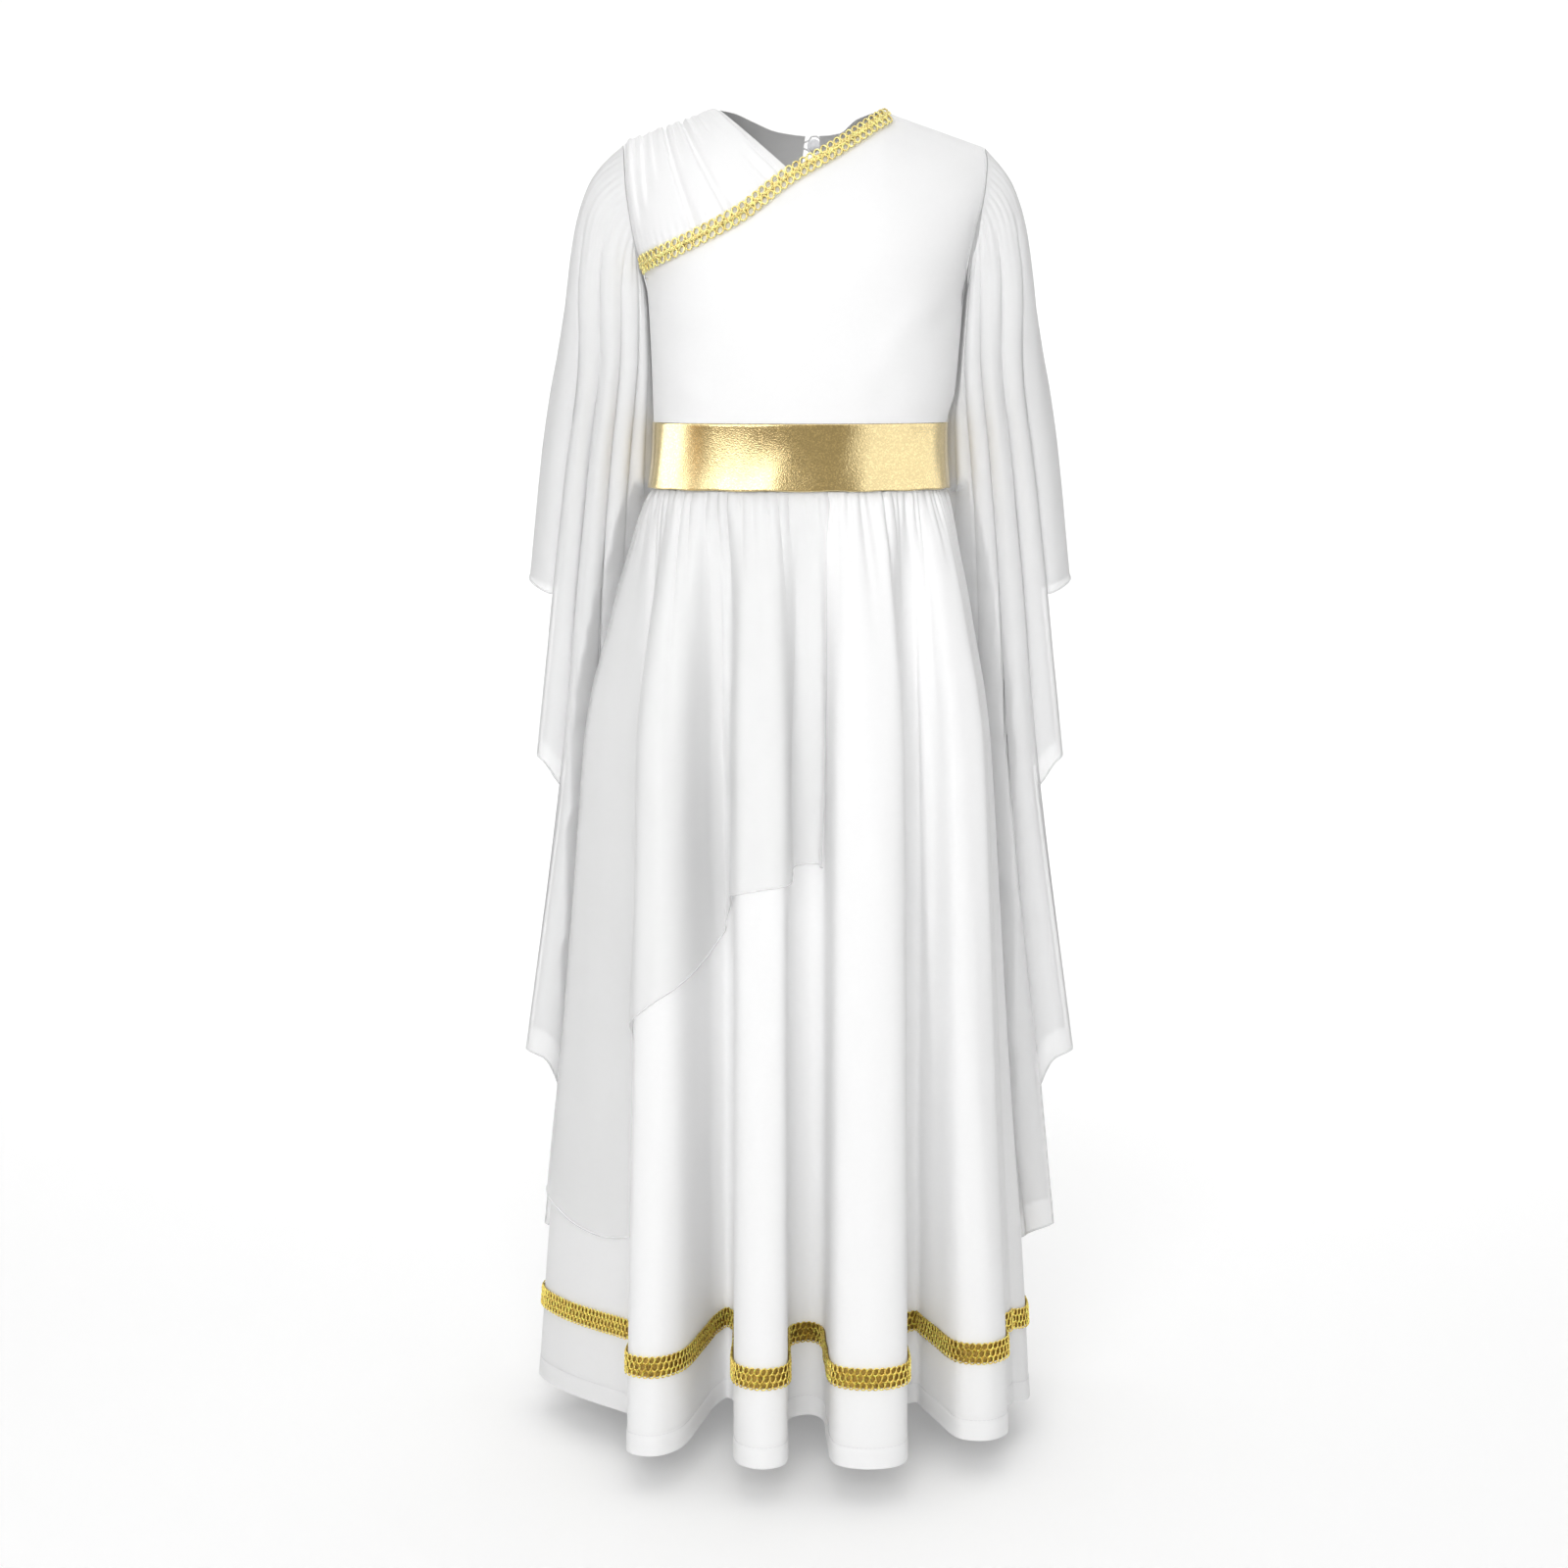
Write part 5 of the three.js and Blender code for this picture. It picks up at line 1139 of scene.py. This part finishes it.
def strip_reader(points, normals):
    """Reads places on a strip: distance along it, distance across from its middle, and height over it"""
    rows = points.shape[0]
    middle = points[rows // 2]
    along = np.concatenate([[0], np.linalg.norm(np.diff(middle, axis=0), axis=1).cumsum()])
    width = np.linalg.norm(points[-1] - points[0], axis=1).mean()

    def read(distance, across, height):
        column = np.interp(distance, along, np.arange(len(along)))
        row = (0.5 - across / width) * (rows - 1)
        c0 = np.clip(np.floor(column).astype(int), 0, len(along) - 2)
        r0 = np.clip(np.floor(row).astype(int), 0, rows - 2)
        fc, fr = (column - c0)[..., None], (row - r0)[..., None]
        upper, lower = (mix(points[row, c0], points[row, c0 + 1], fc) for row in (r0, r0 + 1))
        place = mix(upper, lower, fr)
        normal = mix(normals[r0, c0], normals[r0, c0 + 1], fc)
        return place + normal * np.asarray(height)[..., None], normal

    return read, along[-1]


def braid_loops(name, read, start, end, pitch, rows, material, points_per_loop, sides):
    """Rows of small oval loops of round cord along a strip"""
    turn = np.linspace(0, math.tau, points_per_loop, endpoint=False)[None, :]
    pieces = []
    for number, (across, half_along, half_across, radius, offset) in enumerate(rows):
        centres = np.arange(start + (0.5 + offset) * pitch, end - 0.4 * pitch, pitch)[:, None]
        lean = 0.25 * np.sin(turn) * half_along
        distance = centres + half_along * np.cos(turn) + lean
        height = radius + 0.0004 * (1 + np.cos(turn + 0.9))
        paths, normals = read(distance, across + half_across * np.sin(turn), height + 0 * distance)
        pieces.append(round_cord(f"{name}_{number + 1}", paths, normals, radius, sides, material,
                                 closed=True))
    return pieces


braid_share = np.linspace(0, 1, 260)
before, after = np.maximum(braid_share - 0.02, 0), np.minimum(braid_share + 0.02, 1)
tangent = np.stack([slant_x(after) - slant_x(before), slant_z(after) - slant_z(before)], axis=1)
tangent /= np.linalg.norm(tangent, axis=1, keepdims=True)
across_share = np.linspace(0, 1, NECK_TAPE_ROWS)[:, None]
braid_offset = NECK_BRAID_ABOVE - NECK_BRAID_WIDTH * across_share
braid_z = slant_z(braid_share)[None] + tangent[None, :, 0] * braid_offset
braid_z -= 0.005 * across_share * (1 - smooth(braid_share / 0.04))[None]
braid_x = slant_x(braid_share)[None] - tangent[None, :, 1] * braid_offset
braid_z = np.minimum(braid_z, shoulder_height(braid_x) - SEAM_GAP)
braid_x = np.maximum(braid_x, -panel_edge("right", braid_z) + 0.0036)
tape_points = torso_points("front", braid_x, braid_z)
tape_normals = facing(tape_points, (0, -1, 0))
tape_lift = 0.0016 + 0.0009 * smooth((-braid_x - 0.084) / 0.028)
tape_points = tape_points + tape_normals * tape_lift[..., None]

# The net is closed along the middle of the tape, and open to both sides of it
neck_net, net_tree, net_shader = gold_material("neck_net", GOLD_NET, 0.40, 500.0)
net_map = add_node(net_tree, "ShaderNodeUVMap", uv_map="pattern")
net_across = add_node(net_tree, "ShaderNodeSeparateXYZ", {0: net_map.outputs[0]}).outputs[1]
net_away = math_node(net_tree, "ABSOLUTE", math_node(net_tree, "SUBTRACT", net_across, NECK_BRAID_WIDTH / 2))
net_tree.links.new(remap(net_tree, net_away, 0.0014, 0.0024, 1.0, 0.10), net_shader.inputs["Alpha"])
neck_tape = lay_cloth("neck_braid_tape", tape_points, tape_normals, neck_net)
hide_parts("neck_braid")
read_neck, neck_length = strip_reader(tape_points, tape_normals)
# A row of loops: place across the tape, reach along it, reach across it, cord, and offset in pitches
NECK_LOOPS = (
    (0.0041, 0.0027, 0.0034, 0.00078, 0.0),
    (-0.0041, 0.0027, 0.0034, 0.00078, 0.5),
)
neck_loops = braid_loops("neck_braid_loops", read_neck, 0.0005, neck_length, NECK_LOOP_PITCH, NECK_LOOPS,
                         neck_gold, 16, 6)

NECK_CORD = {"radius": 0.0008, "across": 0.0002, "swing": 0.0009, "height": 0.0013}
for number, phase in enumerate((0, math.pi)):
    distance = np.arange(NECK_CORD["radius"], neck_length - NECK_CORD["radius"], NECK_LOOP_PITCH / 8)
    wave = math.tau * distance / NECK_LOOP_PITCH + phase
    paths, normals = read_neck(distance, NECK_CORD["across"] + NECK_CORD["swing"] * np.sin(wave),
                               NECK_CORD["height"] + 0.0002 * np.cos(wave))
    round_cord(f"neck_braid_cord_{number + 1}", paths[None], normals[None],
                                 NECK_CORD["radius"], 6, neck_gold)

# The braid above the hem is a darker, closer gold braid, laid on the skirt and sewn down. It follows
# every fold, and is joined at the two side seams.
HEM_LOOP_PITCH = 0.0046
HEM_TAPE_INSET = 0.0012
HEM_TAPE = 0.0006
HEM_GOLD = (0.96, 0.72, 0.19)
HEM_TAPE_GOLD = (0.40, 0.27, 0.07)
HEM_LOOPS = (
    (0.0054, 0.0022, 0.0028, 0.00056, 0.0),
    (0.0, 0.0022, 0.0030, 0.00056, 0.5),
    (-0.0054, 0.0022, 0.0028, 0.00056, 0.0),
)
hem_tape_gold = gold_material("hem_tape_gold", HEM_TAPE_GOLD, 0.45, 500.0)[0]
hem_gold = gold_material("hem_gold", HEM_GOLD, 0.28, 900.0)[0]
tape_heights = mix(BRAID_TOP - HEM_TAPE_INSET, BRAID_BOTTOM + HEM_TAPE_INSET, np.linspace(0, 1, 7))[:, None]
for face, (start, end) in skirt_spans.items():
    folds, heights = np.broadcast_arrays(np.linspace(start, end, 1100)[None, :], tape_heights)
    points, normals = skirt_cloth(folds, heights, 0.0010 + 0 * folds)
    tape = lay_cloth(f"hem_braid_{face}_tape", points, normals, hem_tape_gold, HEM_TAPE)
    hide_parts(f"hem_braid_{face}")
    read_hem, hem_length = strip_reader(points, normals)
    loops = braid_loops(f"hem_braid_{face}_loops", read_hem, 0.0, hem_length, HEM_LOOP_PITCH, HEM_LOOPS,
                        hem_gold, 10, 4)

# The slit at the neck closes with a round button covered in grey-white satin, and a cord loop sewn to
# the other edge.
BUTTON_RADIUS = 0.0055
BUTTON_PLACE = (0.0115, -0.010)
BUTTON_CLOTH = 0.0004
BUTTON_WHITE = (0.74, 0.745, 0.77)
BUTTON_PROFILE = {
    "share": (0, 0.12, 0.3, 0.45, 0.6, 0.75, 0.9, 1),
    "radius": (0.02, 0.46, 0.84, 1.0, 0.97, 0.78, 0.44, 0.02),
    "depth": (-1.0, -0.90, -0.60, -0.12, 0.28, 0.66, 0.92, 1.0),
}
LOOP_CORD = 0.00075
# Where the loop's two ends lie on the back's edge: how far outside the slit, and above or below the button
LOOP_END_X = (0.009, 0.003)
LOOP_END_Z = (0.0014, 0.0034)
button_shell, button_tree, button_shader = new_material("button_shell", {"Roughness": 0.3})
button_tree.links.new(toned(button_tree, BUTTON_WHITE, 300.0, 0.06), button_shader.inputs["Base Color"])
button_weave = add_node(button_tree, "ShaderNodeTexNoise", {"Scale": 900.0, "Detail": 3.0})
raise_grain(button_tree, button_shader, button_weave.outputs["Fac"], 0.0001, 0.2)
button_low, button_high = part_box("back_button")
button_middle = (button_low + button_high) / 2
button_turns = np.linspace(0, math.tau, 40, endpoint=False)[None, :]
button_share = np.linspace(0, 1, 24)[:, None]
button_radius = curve(BUTTON_PROFILE, "share", "radius")(button_share) * BUTTON_RADIUS
button_depth = curve(BUTTON_PROFILE, "share", "depth")(button_share) * 0.7 * BUTTON_RADIUS
button_points = np.stack([
    button_middle.x + button_radius * np.cos(button_turns), button_middle.y + button_depth + 0 * button_turns,
    button_middle.z + button_radius * np.sin(button_turns)], axis=-1)
button_normals = facing(button_points, button_points - np.array(button_middle), closed=True)
button = lay_cloth("back_button_cover", button_points, button_normals, button_shell,
                   BUTTON_CLOTH, closed=True)
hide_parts("back_button")

loop_turn = np.radians(np.linspace(110, -110, 24))
loop_reach = BUTTON_RADIUS + LOOP_CORD + 0.0004
end_x, end_z = SLIT["x"] - np.array(LOOP_END_X), np.array(LOOP_END_Z)
loop_x = np.concatenate([end_x, BUTTON_PLACE[0] + loop_reach * np.cos(loop_turn), end_x[::-1]])
loop_z = BUTTON_PLACE[1] + np.concatenate([end_z, loop_reach * np.sin(loop_turn), -end_z[::-1]])
loop_y = torso_depth("back", loop_x, loop_z) + SEAM_GAP + 0.0006 + LOOP_CORD
loop_path = np.stack([loop_x, loop_y, loop_z], axis=-1)[None]
loop_normals = np.zeros_like(loop_path) + (0, 1, 0)
button_loop = round_cord("button_loop_cord", loop_path, loop_normals, LOOP_CORD, 8, white_jersey)
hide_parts("button_loop")

# Sewing: white thread stitches down the turned edges of the jersey and of the skirt's hem.
THREAD_RADIUS = 0.00022
STITCH = 0.0026
STITCH_SPACING = 0.0034
THREAD_WHITE = (0.80, 0.80, 0.81)
white_thread, thread_tree, thread_shader = new_material("white_thread", {"Roughness": 0.5})
white_twist = use_group(thread_tree, "thread_twist", Turns=2600.0)
thread_tree.links.new(toned(thread_tree, THREAD_WHITE, 200.0, 0.1), thread_shader.inputs["Base Color"])
raise_grain(thread_tree, thread_shader, white_twist.outputs["Height"], 0.0001, 0.4)


def stitches(name, line, line_normals):
    """A row of stitches along a line on the cloth: each stands up in its middle and dips in at its ends"""
    along = np.concatenate([[0], np.linalg.norm(np.diff(line, axis=0), axis=1).cumsum()])
    starts = np.arange(STITCH_SPACING * 0.3, along[-1] - STITCH, STITCH_SPACING)[:, None]
    share = np.linspace(0, 1, 5)[None, :]
    distance = starts + STITCH * share
    place, normal = (np.stack([np.interp(distance, along, values[:, k]) for k in range(3)], axis=-1)
                     for values in (line, line_normals))
    paths = place + normal * (THREAD_RADIUS * (2.4 * np.sin(np.pi * share) - 0.6))[..., None]
    return round_cord(name, paths, normal, THREAD_RADIUS, 4, white_thread)


stitch_heights = np.array([[hem_line + 0.001], [hem_line], [hem_line - 0.001]])
for face, (start, end) in skirt_spans.items():
    folds, heights = np.broadcast_arrays(np.linspace(start, end, 1100)[None, :], stitch_heights)
    points, normals = skirt_cloth(folds, heights)
    stitches(f"hem_stitches_{face}", points[1], normals[1])


def inside_edge(points, normals, columns, rows):
    """A line through a grid of cloth, by its columns and rows as fractions of the grid"""
    c = np.clip(columns * (points.shape[1] - 1), 0, points.shape[1] - 1)
    r = np.clip(rows * (points.shape[0] - 1), 0, points.shape[0] - 1)
    c, r = np.round(c).astype(int), np.round(r).astype(int)
    return points[r, c], normals[r, c]


sweep = np.linspace(0, 1, 160)
edge_lines = {
    "neck_stitches_front": inside_edge(drape_points, drape_normals, 0.945 + 0 * sweep,
                                       mix(0.03, 0.97, sweep)),
    "armhole_stitches_right": inside_edge(drape_points, drape_normals, 0.035 + 0 * sweep,
                                          mix(0.10, 0.97, sweep)),
    "armhole_stitches_left": inside_edge(front_points, front_normals, 0.985 + 0 * sweep,
                                         mix(0.42, 0.97, sweep)),
}
for name, (line, line_normals) in edge_lines.items():
    stitches(name, line, line_normals)
for side, (points, normals) in back_grids.items():
    neck_line = inside_edge(points, normals, mix(0.52, 0.97, sweep), 0.955 + 0 * sweep)
    stitches(f"neck_stitches_back_{side}", *neck_line)
    slit_line = inside_edge(points, normals, 0.955 + 0 * sweep, mix(0.36, 0.95, sweep))
    stitches(f"slit_stitches_{side}", *slit_line)
